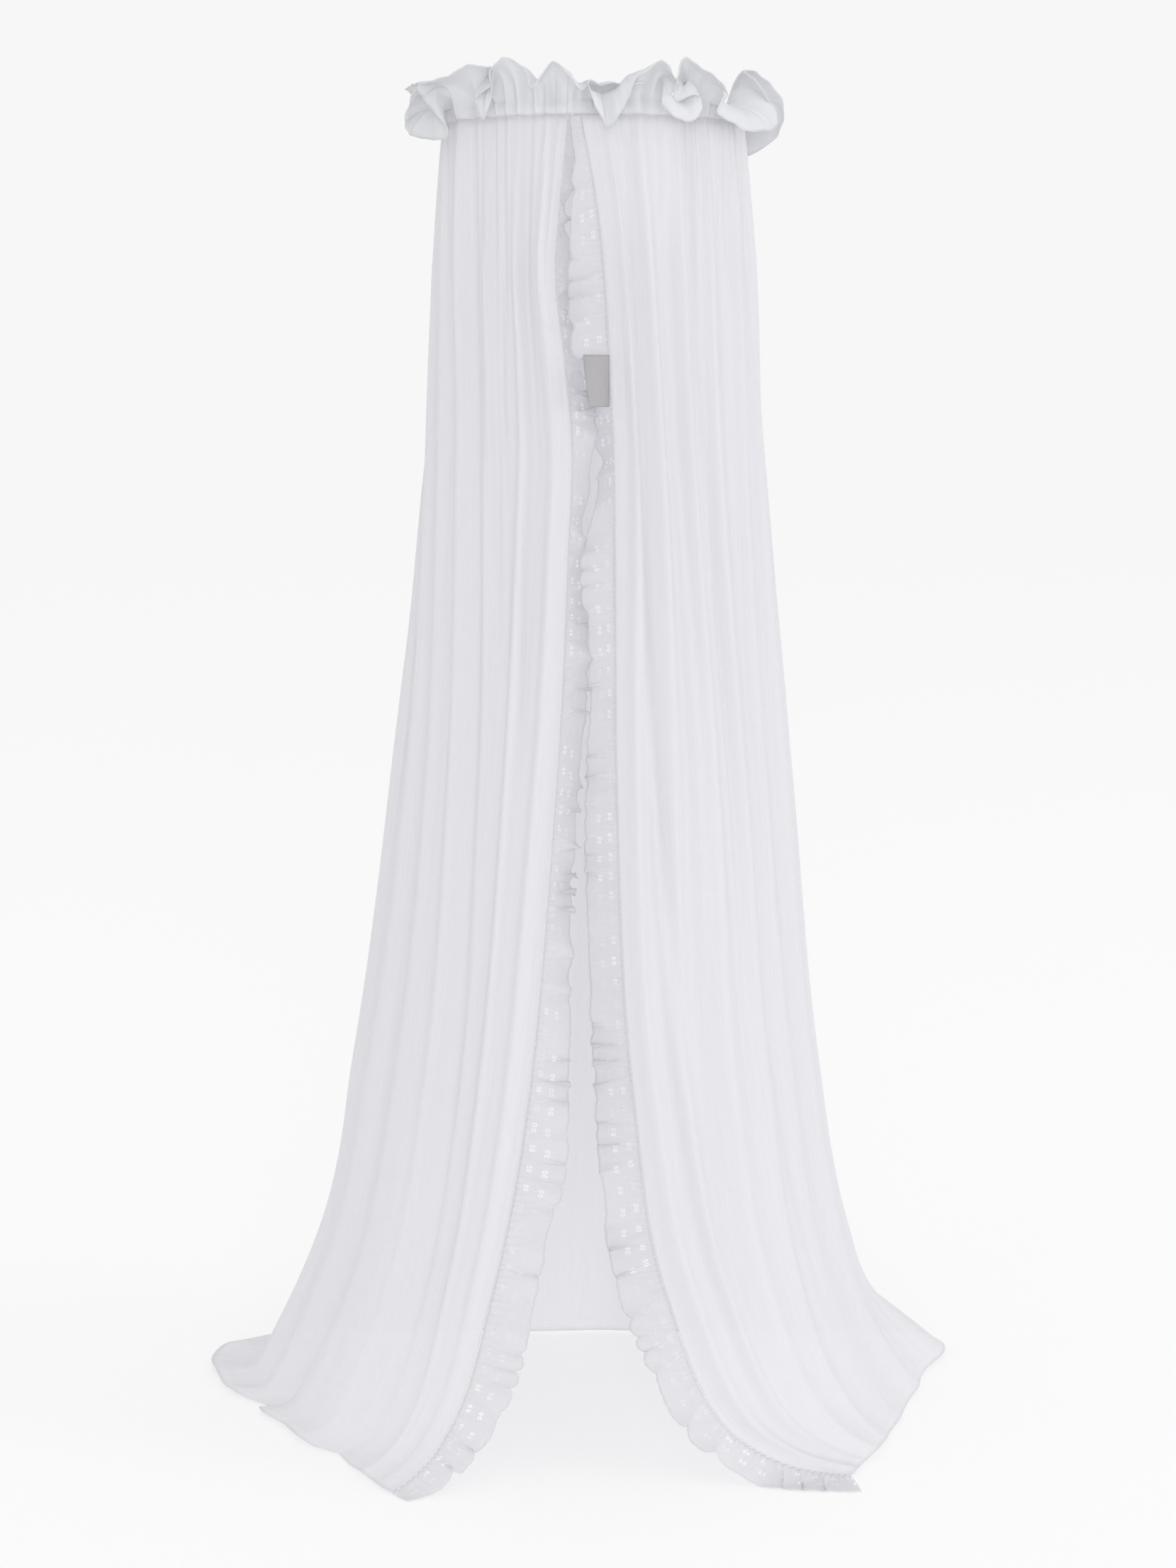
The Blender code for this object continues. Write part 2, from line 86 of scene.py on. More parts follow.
# Lines that run down the cloth, from the left front edge round the back to the right front edge. share is
# the place across the cut cloth, and the rest is where the line passes its waist, knee, ankle and hem.
# skirt is how much of the way from waist to knee it has gone out at its skirt, and toe the same from
# ankle to hem at its toe.
Guide = namedtuple(
    "Guide",
    "share waist_x waist_y skirt knee_x knee_y ankle_x ankle_y ankle_height toe toe_height hem_x hem_y",
)
GUIDES = [
    Guide(0.000, -0.041, -0.218, 0.50, -0.108, -0.260, -0.144, -0.274, 0.066, 0.30, 0.036, -0.203, -0.326),
    Guide(0.060, -0.088, -0.205, 0.48, -0.155, -0.235, -0.198, -0.245, 0.052, 0.32, 0.026, -0.250, -0.268),
    Guide(0.140, -0.148, -0.165, 0.47, -0.216, -0.185, -0.268, -0.175, 0.050, 0.32, 0.022, -0.313, -0.178),
    Guide(0.210, -0.191, -0.105, 0.50, -0.269, -0.105, -0.330, -0.080, 0.052, 0.30, 0.020, -0.385, -0.058),
    Guide(0.270, -0.213, -0.035, 0.53, -0.300, -0.020, -0.364, 0.010, 0.056, 0.28, 0.016, -0.440, 0.030),
    Guide(0.330, -0.212, 0.045, 0.53, -0.306, 0.070, -0.370, 0.105, 0.058, 0.27, 0.013, -0.458, 0.140),
    Guide(0.375, -0.190, 0.100, 0.52, -0.276, 0.140, -0.326, 0.180, 0.055, 0.30, 0.018, -0.385, 0.212),
    Guide(0.430, -0.130, 0.165, 0.55, -0.180, 0.190, -0.200, 0.207, 0.090, 0.35, 0.058, -0.214, 0.218),
    Guide(0.500, 0.000, 0.196, 0.57, 0.000, 0.212, 0.000, 0.219, 0.100, 0.39, 0.066, 0.000, 0.222),
    Guide(0.570, 0.130, 0.165, 0.52, 0.175, 0.190, 0.192, 0.207, 0.090, 0.35, 0.058, 0.208, 0.218),
    Guide(0.625, 0.190, 0.100, 0.48, 0.262, 0.140, 0.308, 0.180, 0.070, 0.40, 0.040, 0.370, 0.212),
    Guide(0.670, 0.213, 0.045, 0.46, 0.285, 0.080, 0.343, 0.130, 0.078, 0.42, 0.047, 0.431, 0.172),
    Guide(0.730, 0.215, -0.030, 0.46, 0.285, -0.010, 0.335, 0.030, 0.078, 0.42, 0.042, 0.396, 0.060),
    Guide(0.800, 0.192, -0.100, 0.46, 0.258, -0.100, 0.308, -0.085, 0.072, 0.38, 0.038, 0.357, -0.085),
    Guide(0.870, 0.145, -0.165, 0.44, 0.210, -0.180, 0.262, -0.180, 0.062, 0.35, 0.034, 0.322, -0.185),
    Guide(0.940, 0.083, -0.205, 0.38, 0.145, -0.235, 0.212, -0.246, 0.052, 0.33, 0.027, 0.298, -0.240),
    Guide(1.000, 0.028, -0.218, 0.36, 0.083, -0.260, 0.158, -0.274, 0.046, 0.32, 0.023, 0.278, -0.276),
]

# How far the hem on the floor runs out past its guides, in millimetres, at places across the cloth: the
# left train ends in three uneven scallops.
Scallop = namedtuple("Scallop", "share out")
SCALLOPS = [
    Scallop(0.000, 0),
    Scallop(0.085, 0),
    Scallop(0.114, -7),
    Scallop(0.135, 7),
    Scallop(0.150, 9),
    Scallop(0.175, 4),
    Scallop(0.195, 12),
    Scallop(0.207, 7),
    Scallop(0.214, -11),
    Scallop(0.226, 0),
    Scallop(0.240, 5),
    Scallop(0.256, 5),
    Scallop(0.290, 0),
    Scallop(1.000, 0),
]

# How far the two front edges bow sideways from the straight below the seam, in millimetres with right as
# plus. The bow fades out over BOW_FADE of the cloth's width.
Bow = namedtuple("Bow", "share left right")
BOWS = [
    Bow(0.00, 0, 0),
    Bow(0.05, -7, 11),
    Bow(0.11, -13, 17),
    Bow(0.16, -4, 17),
    Bow(0.22, 5, 16),
    Bow(0.30, 2, 11),
    Bow(0.45, 0, 0),
    Bow(0.72, 0, 0),
    Bow(0.82, -6, 0),
    Bow(0.90, -10, 2),
    Bow(1.00, -15, 4),
]
BOW_FADE = 0.05

# Small soft folds that run down the cloth: the share of the width where each has its crest, and how far
# it stands out there, in millimetres, just under the seam, at the waist, at the knee and at the hem.
Fold = namedtuple("Fold", "share shoulder waist knee hem")
FOLDS = [
    Fold(-0.020, 2, 2, 2, 1),
    Fold(0.022, 6, 5, 3, 2),
    Fold(0.058, 7, 6, 4, 2),
    Fold(0.098, 5, 4, 2, 1),
    Fold(0.142, 8, 6, 3, 2),
    Fold(0.190, 6, 4, 2, 1),
    Fold(0.240, 8, 6, 4, 3),
    Fold(0.292, 7, 5, 3, 2),
    Fold(0.343, 6, 7, 5, 3),
    Fold(0.392, 8, 9, 5, 3),
    Fold(0.445, 6, 11, 8, 3),
    Fold(0.497, 7, 9, 4, 2),
    Fold(0.552, 6, 11, 8, 3),
    Fold(0.603, 8, 10, 5, 3),
    Fold(0.655, 7, 8, 5, 3),
    Fold(0.706, 6, 5, 3, 2),
    Fold(0.757, 8, 6, 4, 3),
    Fold(0.806, 7, 5, 2, 1),
    Fold(0.853, 6, 6, 4, 2),
    Fold(0.897, 8, 5, 3, 1),
    Fold(0.938, 6, 6, 4, 2),
    Fold(0.978, 8, 6, 4, 2),
    Fold(1.020, 2, 2, 2, 1),
]
SHOULDER_SHARE = 0.10
SEAM_WAVE = 0.0025
FOLD_DRIFT = 0.11
FOLD_SHARPNESS = 0.7
# The uneven ripples between the folds, and how far down the cloth they reach.
HALF_FOLD = 0.0022
HALF_FOLD_SHARE = 0.62

# The fine gathers under the seam: the depth of the weakest as a share of the full one and what the
# strongest adds to it, how far down the shortest reaches and what the longest adds to it, as shares of
# the cloth's length, and how much narrower their crests are than their troughs.
GATHER_WEAKEST = 0.45
GATHER_STRONGER = 0.9
GATHER_SHORTEST = 0.07
GATHER_LONGER = 0.45
GATHER_SHARPNESS = 0.9

# The broad bands that the small folds lie on: how far the cloth stands out there, in millimetres, at the
# waist, at the knee and at the hem. They start below the shoulder, and both panels turn in towards the
# opening.
Band = namedtuple("Band", "share waist knee hem")
BANDS = [
    Band(0.000, -3, -5, -2),
    Band(0.020, -1, -1, 0),
    Band(0.058, 4, 6, 4),
    Band(0.105, -4, -6, -2),
    Band(0.160, 6, 9, 6),
    Band(0.215, -1, -1, 0),
    Band(0.270, 6, 8, 6),
    Band(0.340, 5, 7, 5),
    Band(0.410, 1, 2, 0),
    Band(0.590, 1, 2, 0),
    Band(0.660, 4, 7, 5),
    Band(0.730, 6, 8, 6),
    Band(0.800, 0, 0, 1),
    Band(0.860, 3, 4, 4),
    Band(0.905, 8, 11, 8),
    Band(0.948, -2, -4, -2),
    Band(0.972, 2, 2, 2),
    Band(1.000, -4, -7, -2),
]
BAND_SHARE = 0.22

# The cloth's mesh: its columns, the fewer ones that the ruffles' edges are found with, and its rows,
# which are closer together under the seam and towards the floor.
CLOTH_COLUMNS = 525
EDGE_COLUMNS = 401
RowSpan = namedtuple("RowSpan", "start end steps")
ROW_SPANS = [
    RowSpan(0.00, 0.10, 14),
    RowSpan(0.10, 0.78, 45),
    RowSpan(0.78, 1.00, 27),
]

# Single creases, as shares: the rows where each starts and ends, its place across the cloth there, how
# far it stands out in millimetres, where minus is a trough, and how wide it is in thousandths of the
# cloth's width.
Crease = namedtuple("Crease", "start end start_share end_share out width")
CREASES = [
    Crease(0.03, 0.97, 0.985, 0.932, 4.4, 5.0),
    Crease(0.06, 0.92, 0.974, 0.919, -3.2, 4.0),
    Crease(0.02, 0.20, 0.908, 0.906, 2.6, 5.0),
    Crease(0.02, 0.34, 0.866, 0.874, 3.0, 5.0),
    Crease(0.03, 0.30, 0.024, 0.016, -3.0, 5.0),
    Crease(0.04, 0.42, 0.062, 0.050, -2.6, 5.0),
    Crease(0.02, 0.16, 0.092, 0.090, -2.4, 4.0),
    Crease(0.03, 0.24, 0.080, 0.074, 2.4, 4.0),
    Crease(0.55, 0.98, 0.112, 0.104, -3.4, 16.0),
    Crease(0.70, 0.96, 0.300, 0.262, -3.0, 12.0),
    Crease(0.62, 0.95, 0.842, 0.822, 3.6, 9.0),
]

# The frill's free edge, as it turns back and forth round the hoop: the bearing from the front at the seam
# and at the free edge, in degrees with right as plus, and its rise above the seam and reach past it, in
# millimetres. Where the edge's bearing goes back, the frill laps over itself, and where the rise is low,
# it hangs over.
Lobe = namedtuple("Lobe", "seam_bearing edge_bearing rise reach")
LOBES = [
    Lobe(-4.0, -0.6, 16, 46),
    Lobe(-2.0, 0.6, 5, 44),
    Lobe(0.6, 2.6, -7, 36),
    Lobe(3.2, 5.0, -17, 27),
    Lobe(6.0, 8.0, -4, 36),
    Lobe(8.6, 10.4, 14, 44),
    Lobe(11.5, 12.4, 33, 43),
    Lobe(15.5, 16.0, 41, 42),
    Lobe(19.0, 20.5, 53, 38),
    Lobe(21.6, 24.4, 43, 35),
    Lobe(23.2, 26.6, 25, 35),
    Lobe(24.8, 20.5, 12, 42),
    Lobe(26.6, 23.4, -5, 45),
    Lobe(28.8, 30.5, -9, 43),
    Lobe(30.8, 33.8, 6, 43),
    Lobe(32.2, 31.5, 18, 42),
    Lobe(33.6, 24.4, 11, 42),
    Lobe(35.2, 26.4, 38, 37),
    Lobe(37.0, 28.6, 56, 34),
    Lobe(39.8, 33.0, 51, 37),
    Lobe(43.0, 39.0, 38, 41),
    Lobe(45.5, 43.5, 22, 45),
    Lobe(47.5, 38.0, 5, 48),
    Lobe(50.0, 42.0, -6, 47),
    Lobe(52.5, 51.0, -15, 45),
    Lobe(55.5, 62.0, -13, 45),
    Lobe(58.5, 71.0, -8, 46),
    Lobe(61.0, 72.0, 7, 46),
    Lobe(63.2, 63.0, 30, 42),
    Lobe(65.5, 55.0, 48, 37),
    Lobe(68.5, 60.0, 49, 37),
    Lobe(74.0, 71.0, 36, 45),
    Lobe(82.0, 81.0, 8, 49),
    Lobe(91.0, 90.0, -14, 38),
    Lobe(100.0, 97.0, -31, 12),
    Lobe(107.0, 105.0, -16, 16),
    Lobe(115.0, 118.0, 46, 42),
    Lobe(127.0, 126.0, 18, 54),
    Lobe(139.0, 141.0, 52, 38),
    Lobe(152.0, 150.0, 24, 52),
    Lobe(163.0, 166.0, 48, 42),
    Lobe(176.0, 175.0, 16, 54),
    Lobe(188.0, 187.0, 54, 36),
    Lobe(199.0, 201.0, 26, 52),
    Lobe(211.0, 209.0, 50, 42),
    Lobe(223.0, 224.0, 14, 54),
    Lobe(234.0, 236.0, 48, 40),
    Lobe(242.0, 243.0, 32, 47),
    Lobe(249.0, 250.0, 24, 49),
    Lobe(256.0, 262.0, 38, 42),
    Lobe(262.5, 276.0, 39, 43),
    Lobe(268.0, 290.0, 38, 45),
    Lobe(271.5, 294.0, 36, 46),
    Lobe(274.5, 289.0, 19, 46),
    Lobe(277.5, 283.5, 2, 46),
    Lobe(281.0, 282.0, -9, 44),
    Lobe(285.0, 285.5, -15, 41),
    Lobe(289.5, 294.0, -20, 35),
    Lobe(294.0, 305.0, -23, 29),
    Lobe(297.5, 306.5, -6, 35),
    Lobe(300.0, 298.0, 20, 43),
    Lobe(302.3, 293.5, 37, 45),
    Lobe(305.0, 301.0, 38, 44),
    Lobe(307.5, 309.5, 40, 43),
    Lobe(311.0, 318.0, 50, 40),
    Lobe(314.5, 325.0, 49, 39),
    Lobe(317.0, 328.5, 45, 37),
    Lobe(319.0, 327.0, 28, 36),
    Lobe(320.8, 321.5, 14, 35),
    Lobe(322.8, 323.5, -7, 31),
    Lobe(324.8, 327.0, 16, 34),
    Lobe(326.8, 327.5, 42, 37),
    Lobe(329.5, 330.3, 54, 37),
    Lobe(333.0, 334.5, 55, 36),
    Lobe(337.5, 340.0, 39, 40),
    Lobe(341.5, 342.3, 24, 45),
    Lobe(345.5, 347.9, 50, 37),
    Lobe(349.8, 352.5, 38, 40),
    Lobe(352.4, 356.6, 21, 42),
    Lobe(354.6, 359.4, 31, 37),
    Lobe(357.4, 362.6, 27, 36),
    Lobe(361.0, 366.4, 29, 34),
    Lobe(366.0, 371.6, 27, 34),
    Lobe(371.0, 377.0, 31, 33),
]
# The frill's left end is tucked behind its right one where they meet at the front, and is cut lower there.
TUCK_BEARING = 351.0
TUCK_SPAN = 4
TUCK = 0.0028
TUCK_CUT = 0.016
# How far under the hoop's plane the casing ends, just over the top of the cloth.
CASING_FOOT = 0.0004
# How much deeper the gathers are at the top of the casing than at its foot, and how far its middle swells
# out.
CASING_PINCH = 1.6
CASING_SWELL = 0.0014
# Where the bend of the frill starts to go out instead of up, as a share of its reach: for an upright
# stretch, and what a hanging one adds.
FRILL_LEAN = 0.22
FRILL_HANGING_LEAN = 0.85
# The frill's slow ripples and its finer crinkles, at the free edge.
FRILL_RIPPLE = 0.0012
FRILL_CRINKLE = 0.0007
LOBE_STEPS = 9
CASING_ROWS = 5
FRILL_ROWS = 15

# The eyelet ruffles sewn to the two front edges. Each row says how wide the ruffle shows from the front
# at a place down the edge, how far it is turned out of the plane of the edge, in degrees, with minus
# towards the inside, and how crumpled it is there, where 1 is plain gathering.
Stretch = namedtuple("Stretch", "share shown turn crumple")
LEFT_RUFFLE = [
    Stretch(0.00, 0.008, -60, 1.0),
    Stretch(0.07, 0.014, -60, 1.3),
    Stretch(0.12, 0.021, -55, 1.6),
    Stretch(0.18, 0.016, -45, 1.4),
    Stretch(0.205, 0.026, -20, 1.2),
    Stretch(0.26, 0.017, -40, 1.4),
    Stretch(0.30, 0.016, -55, 1.2),
    Stretch(0.35, 0.026, -42, 1.0),
    Stretch(0.47, 0.025, -43, 1.0),
    Stretch(0.60, 0.030, -40, 1.0),
    Stretch(0.69, 0.043, -15, 0.9),
    Stretch(0.74, 0.050, 0, 0.9),
    Stretch(0.80, 0.044, -10, 1.0),
    Stretch(0.86, 0.048, 0, 0.9),
    Stretch(0.93, 0.043, 0, 1.0),
    Stretch(0.97, 0.034, 0, 1.2),
    Stretch(1.00, 0.024, 0, 1.0),
]
RIGHT_RUFFLE = [
    Stretch(0.00, 0.006, 0, 0.6),
    Stretch(0.045, 0.020, 8, 0.6),
    Stretch(0.12, 0.037, 5, 0.6),
    Stretch(0.16, 0.034, 3, 0.7),
    Stretch(0.18, 0.022, -25, 0.8),
    Stretch(0.205, 0.018, -60, 1.0),
    Stretch(0.26, 0.019, -45, 1.0),
    Stretch(0.30, 0.034, 0, 0.8),
    Stretch(0.36, 0.026, -12, 0.9),
    Stretch(0.47, 0.034, -28, 1.0),
    Stretch(0.60, 0.036, -28, 1.0),
    Stretch(0.73, 0.046, -12, 0.9),
    Stretch(0.80, 0.047, 0, 0.9),
    Stretch(0.87, 0.038, 0, 1.0),
    Stretch(0.93, 0.034, 0, 1.2),
    Stretch(0.965, 0.041, 0, 1.3),
    Stretch(1.00, 0.040, 0, 1.2),
]
# A ruffle's waves: their distance, how far they stand out, how far the free edge sways in and out with
# them and how far they lap along it. Then the small gathers at the seam, the free edge's scallops, the
# share of the edge over which the waves grow from the top, and the mesh's steps along each wave and its rows.
RUFFLE_PITCH = 0.036
RUFFLE_WAVE = 0.0058
RUFFLE_SWAY = 0.0026
RUFFLE_LAP = 0.0066
RUFFLE_GATHER = 0.0011
RUFFLE_GATHER_PITCH = 0.0075
RUFFLE_SCALLOP = 0.0009
RUFFLE_CALM_SHARE = 0.05
RUFFLE_STEPS = 30
RUFFLE_ROWS = 14

# The tag, sewn in beside the right ruffle: its top, the place and the slope of its sewn edge, how far its
# free edge is turned towards the front at its top and at its bottom, in degrees, and how far its middle
# bows out.
TAG_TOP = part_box("label")[1].z
TAG_SEWN_X = 0.0175
TAG_SEWN_Y = -0.1838
TAG_SEWN_SLOPE = -0.0026
TAG_TURN_TOP = 8
TAG_TURN_BOTTOM = 42
TAG_BOW = 0.0022
TAG_THICKNESS = 0.0008
TAG_COLUMNS = 15
TAG_ROWS = 25

# The two muslins: how open the weave is, how much of the light glows through it and how far its threads
# differ in tone. Then how much denser a hem is, the fine threads' share of the unevenness beside the
# broader streaks, and the distance between threads.
Muslin = namedtuple("Muslin", "openness glow slub")
SINGLE_MUSLIN = Muslin(0.31, 0.52, 0.010)
DOUBLED_MUSLIN = Muslin(0.12, 0.42, 0.012)
HEM_DENSITY = 0.15
THREAD_SHARE = 0.35
MUSLIN_PITCH = 0.0009

# The eyelet cotton. Its eyelets stand in pairs: each pair's place along the repeat, as a share of it, and
# its distance from the seam, with half the distance between the two. They are longer across the ruffle
# than along it.
EyeletPair = namedtuple("EyeletPair", "share from_seam")
EYELET_PAIRS = [
    EyeletPair(0.42, 0.0105),
    EyeletPair(0.58, 0.0265),
]
HALF_PAIR = 0.0025
EYELET_SHAPE = 0.6
COTTON_OPENNESS = 0.28
COTTON_GLOW = 0.60
COTTON_PITCH = 0.0008
TAPE_PITCH = 0.0008

# The studio: how bright the backdrop is all round, the floor's own glow, which brings it up to the
# backdrop, and the two wide soft lights, each with its place, its size in metres and its power in watts.
BACKDROP = 0.93
FLOOR_GLOW = 0.37
FLOOR_RADIUS = 30.0
FLOOR_UNDER_HEM = 0.0006
SoftLight = namedtuple("SoftLight", "name x y z size power")
SOFT_LIGHTS = [
    SoftLight("key_light", 11.6, -3.1, 0.4, 5.0, 300.0),
    SoftLight("front_light", 0.6, -12.0, 0.4, 5.0, 440.0),
]

# The camera: its place, how far it looks down, in degrees, and its lens and sensor in millimetres.
CAMERA_PLACE = (-0.00525, -3.4, -0.272)
CAMERA_TILT = 7.86
CAMERA_LENS = 68.5
CAMERA_SENSOR = 36.0


class CanopySizes(bpy.types.PropertyGroup):
    """Sizes of the canopy that a maker would change."""

    cut_width: FloatProperty(
        name="Cut width", description="Width of the flat cloth", default=2.0, unit="LENGTH"
    )
    cut_length: FloatProperty(
        name="Cut length", description="Length of the flat cloth under the seam", default=1.54, unit="LENGTH"
    )
    cloth_thickness: FloatProperty(
        name="Cloth thickness",
        description="Thickness of the muslin",
        default=0.0007,
        unit="LENGTH",
        precision=4,
    )
    side_hem: FloatProperty(
        name="Side hem", description="Width of the hems at the front edges", default=0.012, unit="LENGTH"
    )
    bottom_hem: FloatProperty(
        name="Bottom hem", description="Height of the hem at the floor", default=0.022, unit="LENGTH"
    )
    gathers: IntProperty(name="Gathers", description="Fine gathers round the hoop", default=66, min=12)
    gather_depth: FloatProperty(
        name="Gather depth", description="Depth of the gathers under the seam", default=0.0034, unit="LENGTH"
    )
    frill_height: FloatProperty(
        name="Frill height",
        description="Height of the flat frill above the seam",
        default=0.072,
        unit="LENGTH",
    )
    casing_height: FloatProperty(
        name="Casing height",
        description="Height of the casing under the frill",
        default=0.0145,
        unit="LENGTH",
    )
    frill_thickness: FloatProperty(
        name="Frill thickness", description="Thickness of the doubled muslin", default=0.0010, unit="LENGTH"
    )
    ruffle_thickness: FloatProperty(
        name="Ruffle thickness", description="Thickness of the eyelet cotton", default=0.0008, unit="LENGTH"
    )
    ruffle_cut: FloatProperty(
        name="Ruffle cut length", description="Length of each flat eyelet strip", default=1.9, unit="LENGTH"
    )
    eyelet_repeat: FloatProperty(
        name="Eyelet repeat", description="Distance between the eyelet groups", default=0.024, unit="LENGTH"
    )
    eyelet_radius: FloatProperty(
        name="Eyelet radius",
        description="Radius of an eyelet's hole",
        default=0.0010,
        unit="LENGTH",
        precision=4,
    )
    tag_width: FloatProperty(name="Tag width", description="Width of the tag", default=0.028, unit="LENGTH")
    tag_length: FloatProperty(
        name="Tag length", description="Length of the tag", default=0.055, unit="LENGTH"
    )


class CanopyColours(bpy.types.PropertyGroup):
    """Colours of the canopy's cloths."""

    muslin: FloatVectorProperty(
        name="Muslin", description="Colour of the sheer cloth", subtype="COLOR", default=(0.85, 0.845, 0.865)
    )
    # Painted shade: the frill is the same muslin as the cloth, coloured a little darker to stand for the
    # shade in its crinkled folds.
    frill: FloatVectorProperty(
        name="Frill", description="Colour of the doubled cloth", subtype="COLOR", default=(0.815, 0.82, 0.835)
    )
    eyelet_cotton: FloatVectorProperty(
        name="Eyelet cotton",
        description="Colour of the ruffles",
        subtype="COLOR",
        default=(0.845, 0.84, 0.86),
    )
    thread: FloatVectorProperty(
        name="Thread", description="Colour of the embroidery", subtype="COLOR", default=(1.0, 1.0, 1.0)
    )
    tag: FloatVectorProperty(
        name="Tag", description="Colour of the woven tag", subtype="COLOR", default=(0.35, 0.34, 0.35)
    )
    floor: FloatVectorProperty(
        name="Floor", description="Colour of the studio floor", subtype="COLOR", default=(0.60, 0.60, 0.60)
    )


def smooth_through(knots, values, at):
    """Points at the places `at` on a smooth curve through the knots."""
    knots = np.asarray(knots, float)
    values = np.asarray(values, float)
    at = np.asarray(at, float)
    slopes = np.gradient(values, knots, axis=0)
    span = np.clip(np.searchsorted(knots, at, side="right") - 1, 0, len(knots) - 2)
    shape = (-1,) + (1,) * (values.ndim - 1)
    width = (knots[span + 1] - knots[span]).reshape(shape)
    t = ((at - knots[span]).reshape(shape)) / width
    start = values[span] * (1 + 2 * t) * (1 - t) ** 2
    end = values[span + 1] * t**2 * (3 - 2 * t)
    leave = slopes[span] * width * t * (1 - t) ** 2
    arrive = slopes[span + 1] * width * t**2 * (t - 1)
    return start + end + leave + arrive


def unit(vectors):
    """The vectors, each made one long."""
    return vectors / np.linalg.norm(vectors, axis=-1, keepdims=True)


def column(table, name):
    """One named column of a table, as an array."""
    return np.array([getattr(row, name) for row in table], float)


def hoop_point(bearing, radius, height):
    """Points at bearings from the front, in degrees with right as plus."""
    angle = np.radians(bearing)
    return np.stack(
        [radius * np.sin(angle), -radius * np.cos(angle), np.broadcast_to(height, angle.shape)], -1
    )


def run_lengths(path):
    """The distance along a path at each of its points."""
    return np.concatenate([[0.0], np.cumsum(np.linalg.norm(np.diff(path, axis=0), axis=1))])


def ridge(angle, sharpness):
    """A wave from -1 to 1 with narrow crests and wide troughs."""
    low = math.exp(-sharpness)
    high = math.exp(sharpness)
    return 2 * (np.exp(sharpness * np.cos(angle)) - low) / (high - low) - 1


def uneven(places, seed):
    """Smooth values from 0 to 1 along the places, with no pattern: one for each whole number."""
    whole = np.arange(math.floor(places.min()) - 1, math.ceil(places.max()) + 2)
    values = np.modf(np.abs(np.sin(whole * 12.9898 + seed * 78.233)) * 43758.5453)[0]
    return smooth_through(whole, values, places.ravel()).reshape(places.shape)


def guide_lines(rows):
    """Each guide's points at the given shares of its length, as an array of guide, row, coordinate."""
    share = column(GUIDES, "share")
    ring = hoop_point(LEFT_EDGE_BEARING - share * HOOP_TURN, HOOP_RADIUS, -SEAM_GAP / 2)
    level = np.ones(len(GUIDES))
    waist = np.stack([column(GUIDES, "waist_x"), column(GUIDES, "waist_y"), -WAIST_DROP * level], -1)
    knee = np.stack([column(GUIDES, "knee_x"), column(GUIDES, "knee_y"), -KNEE_DROP * level], -1)
    skirt = waist + (knee - waist) * column(GUIDES, "skirt")[:, None]
    skirt[:, 2] = -SKIRT_DROP
    ankle_height = column(GUIDES, "ankle_height") - DROP
    ankle = np.stack([column(GUIDES, "ankle_x"), column(GUIDES, "ankle_y"), ankle_height], -1)
    hem = np.stack([column(GUIDES, "hem_x"), column(GUIDES, "hem_y"), -DROP * level], -1)
    toe = ankle + (hem - ankle) * column(GUIDES, "toe")[:, None]
    toe[:, 2] = column(GUIDES, "toe_height") - DROP
    stations = np.stack([ring, waist, skirt, knee, ankle, toe, hem])
    return smooth_through(STATIONS, stations, rows).swapaxes(0, 1)


def fold_wave(shares, rows):
    """How far the folds stand out from the guides, as an array of column, row."""
    crests = column(FOLDS, "share")
    depths = [column(FOLDS, name) / 1000 for name in ("shoulder", "waist", "knee", "hem")]
    stations = np.array([SHOULDER_SHARE, WAIST_SHARE, KNEE_SHARE, 1.0])
    down = smooth_through(stations, np.stack(depths), np.maximum(rows, SHOULDER_SHARE))
    start = np.clip(rows / SHOULDER_SHARE, 0, 1)[:, None]
    down = SEAM_WAVE * (1 - start) + down * start
    depth = smooth_through(crests, down.T, shares)
    place = np.interp(shares, crests, np.arange(len(crests)))[:, None]
    drift = FOLD_DRIFT * np.sin(2 * math.pi * (1.2 * rows[None, :] + 3.1 * shares[:, None]))
    angle = 2 * math.pi * (place + drift * np.minimum(1, 4 * rows)[None, :])
    fade = np.sin(math.pi * np.clip(rows / HALF_FOLD_SHARE, 0, 1))[None, :]
    between = HALF_FOLD * fade * uneven(place * 1.7, 5)
    wander = 1.9 * np.sin(2 * math.pi * (0.6 * rows[None, :] + 4.3 * shares[:, None]))
    return depth * ridge(angle, FOLD_SHARPNESS) + between * np.cos(2 * angle + wander)


def band_wave(shares, rows):
    """How far the broad bands stand out from the guides, as an array of column, row."""
    levels = [column(BANDS, name) / 1000 for name in ("waist", "knee", "hem")]
    stations = np.array([BAND_SHARE, WAIST_SHARE, KNEE_SHARE, 1.0])
    down = smooth_through(stations, np.stack([0 * levels[0], *levels]), np.maximum(rows, BAND_SHARE))
    return smooth_through(column(BANDS, "share"), down.T, shares)


def crease_wave(shares, rows):
    """How far the single creases stand out, as an array of column, row."""
    stand = np.zeros((len(shares), len(rows)))
    for crease in CREASES:
        part = np.clip((rows - crease.start) / (crease.end - crease.start), 0, 1)
        middle = crease.start_share + (crease.end_share - crease.start_share) * part
        away = (shares[:, None] - middle[None, :]) / (crease.width / 1000)
        stand += crease.out / 1000 * np.exp(-(away**2)) * np.sin(math.pi * part)[None, :] ** 0.6
    return stand


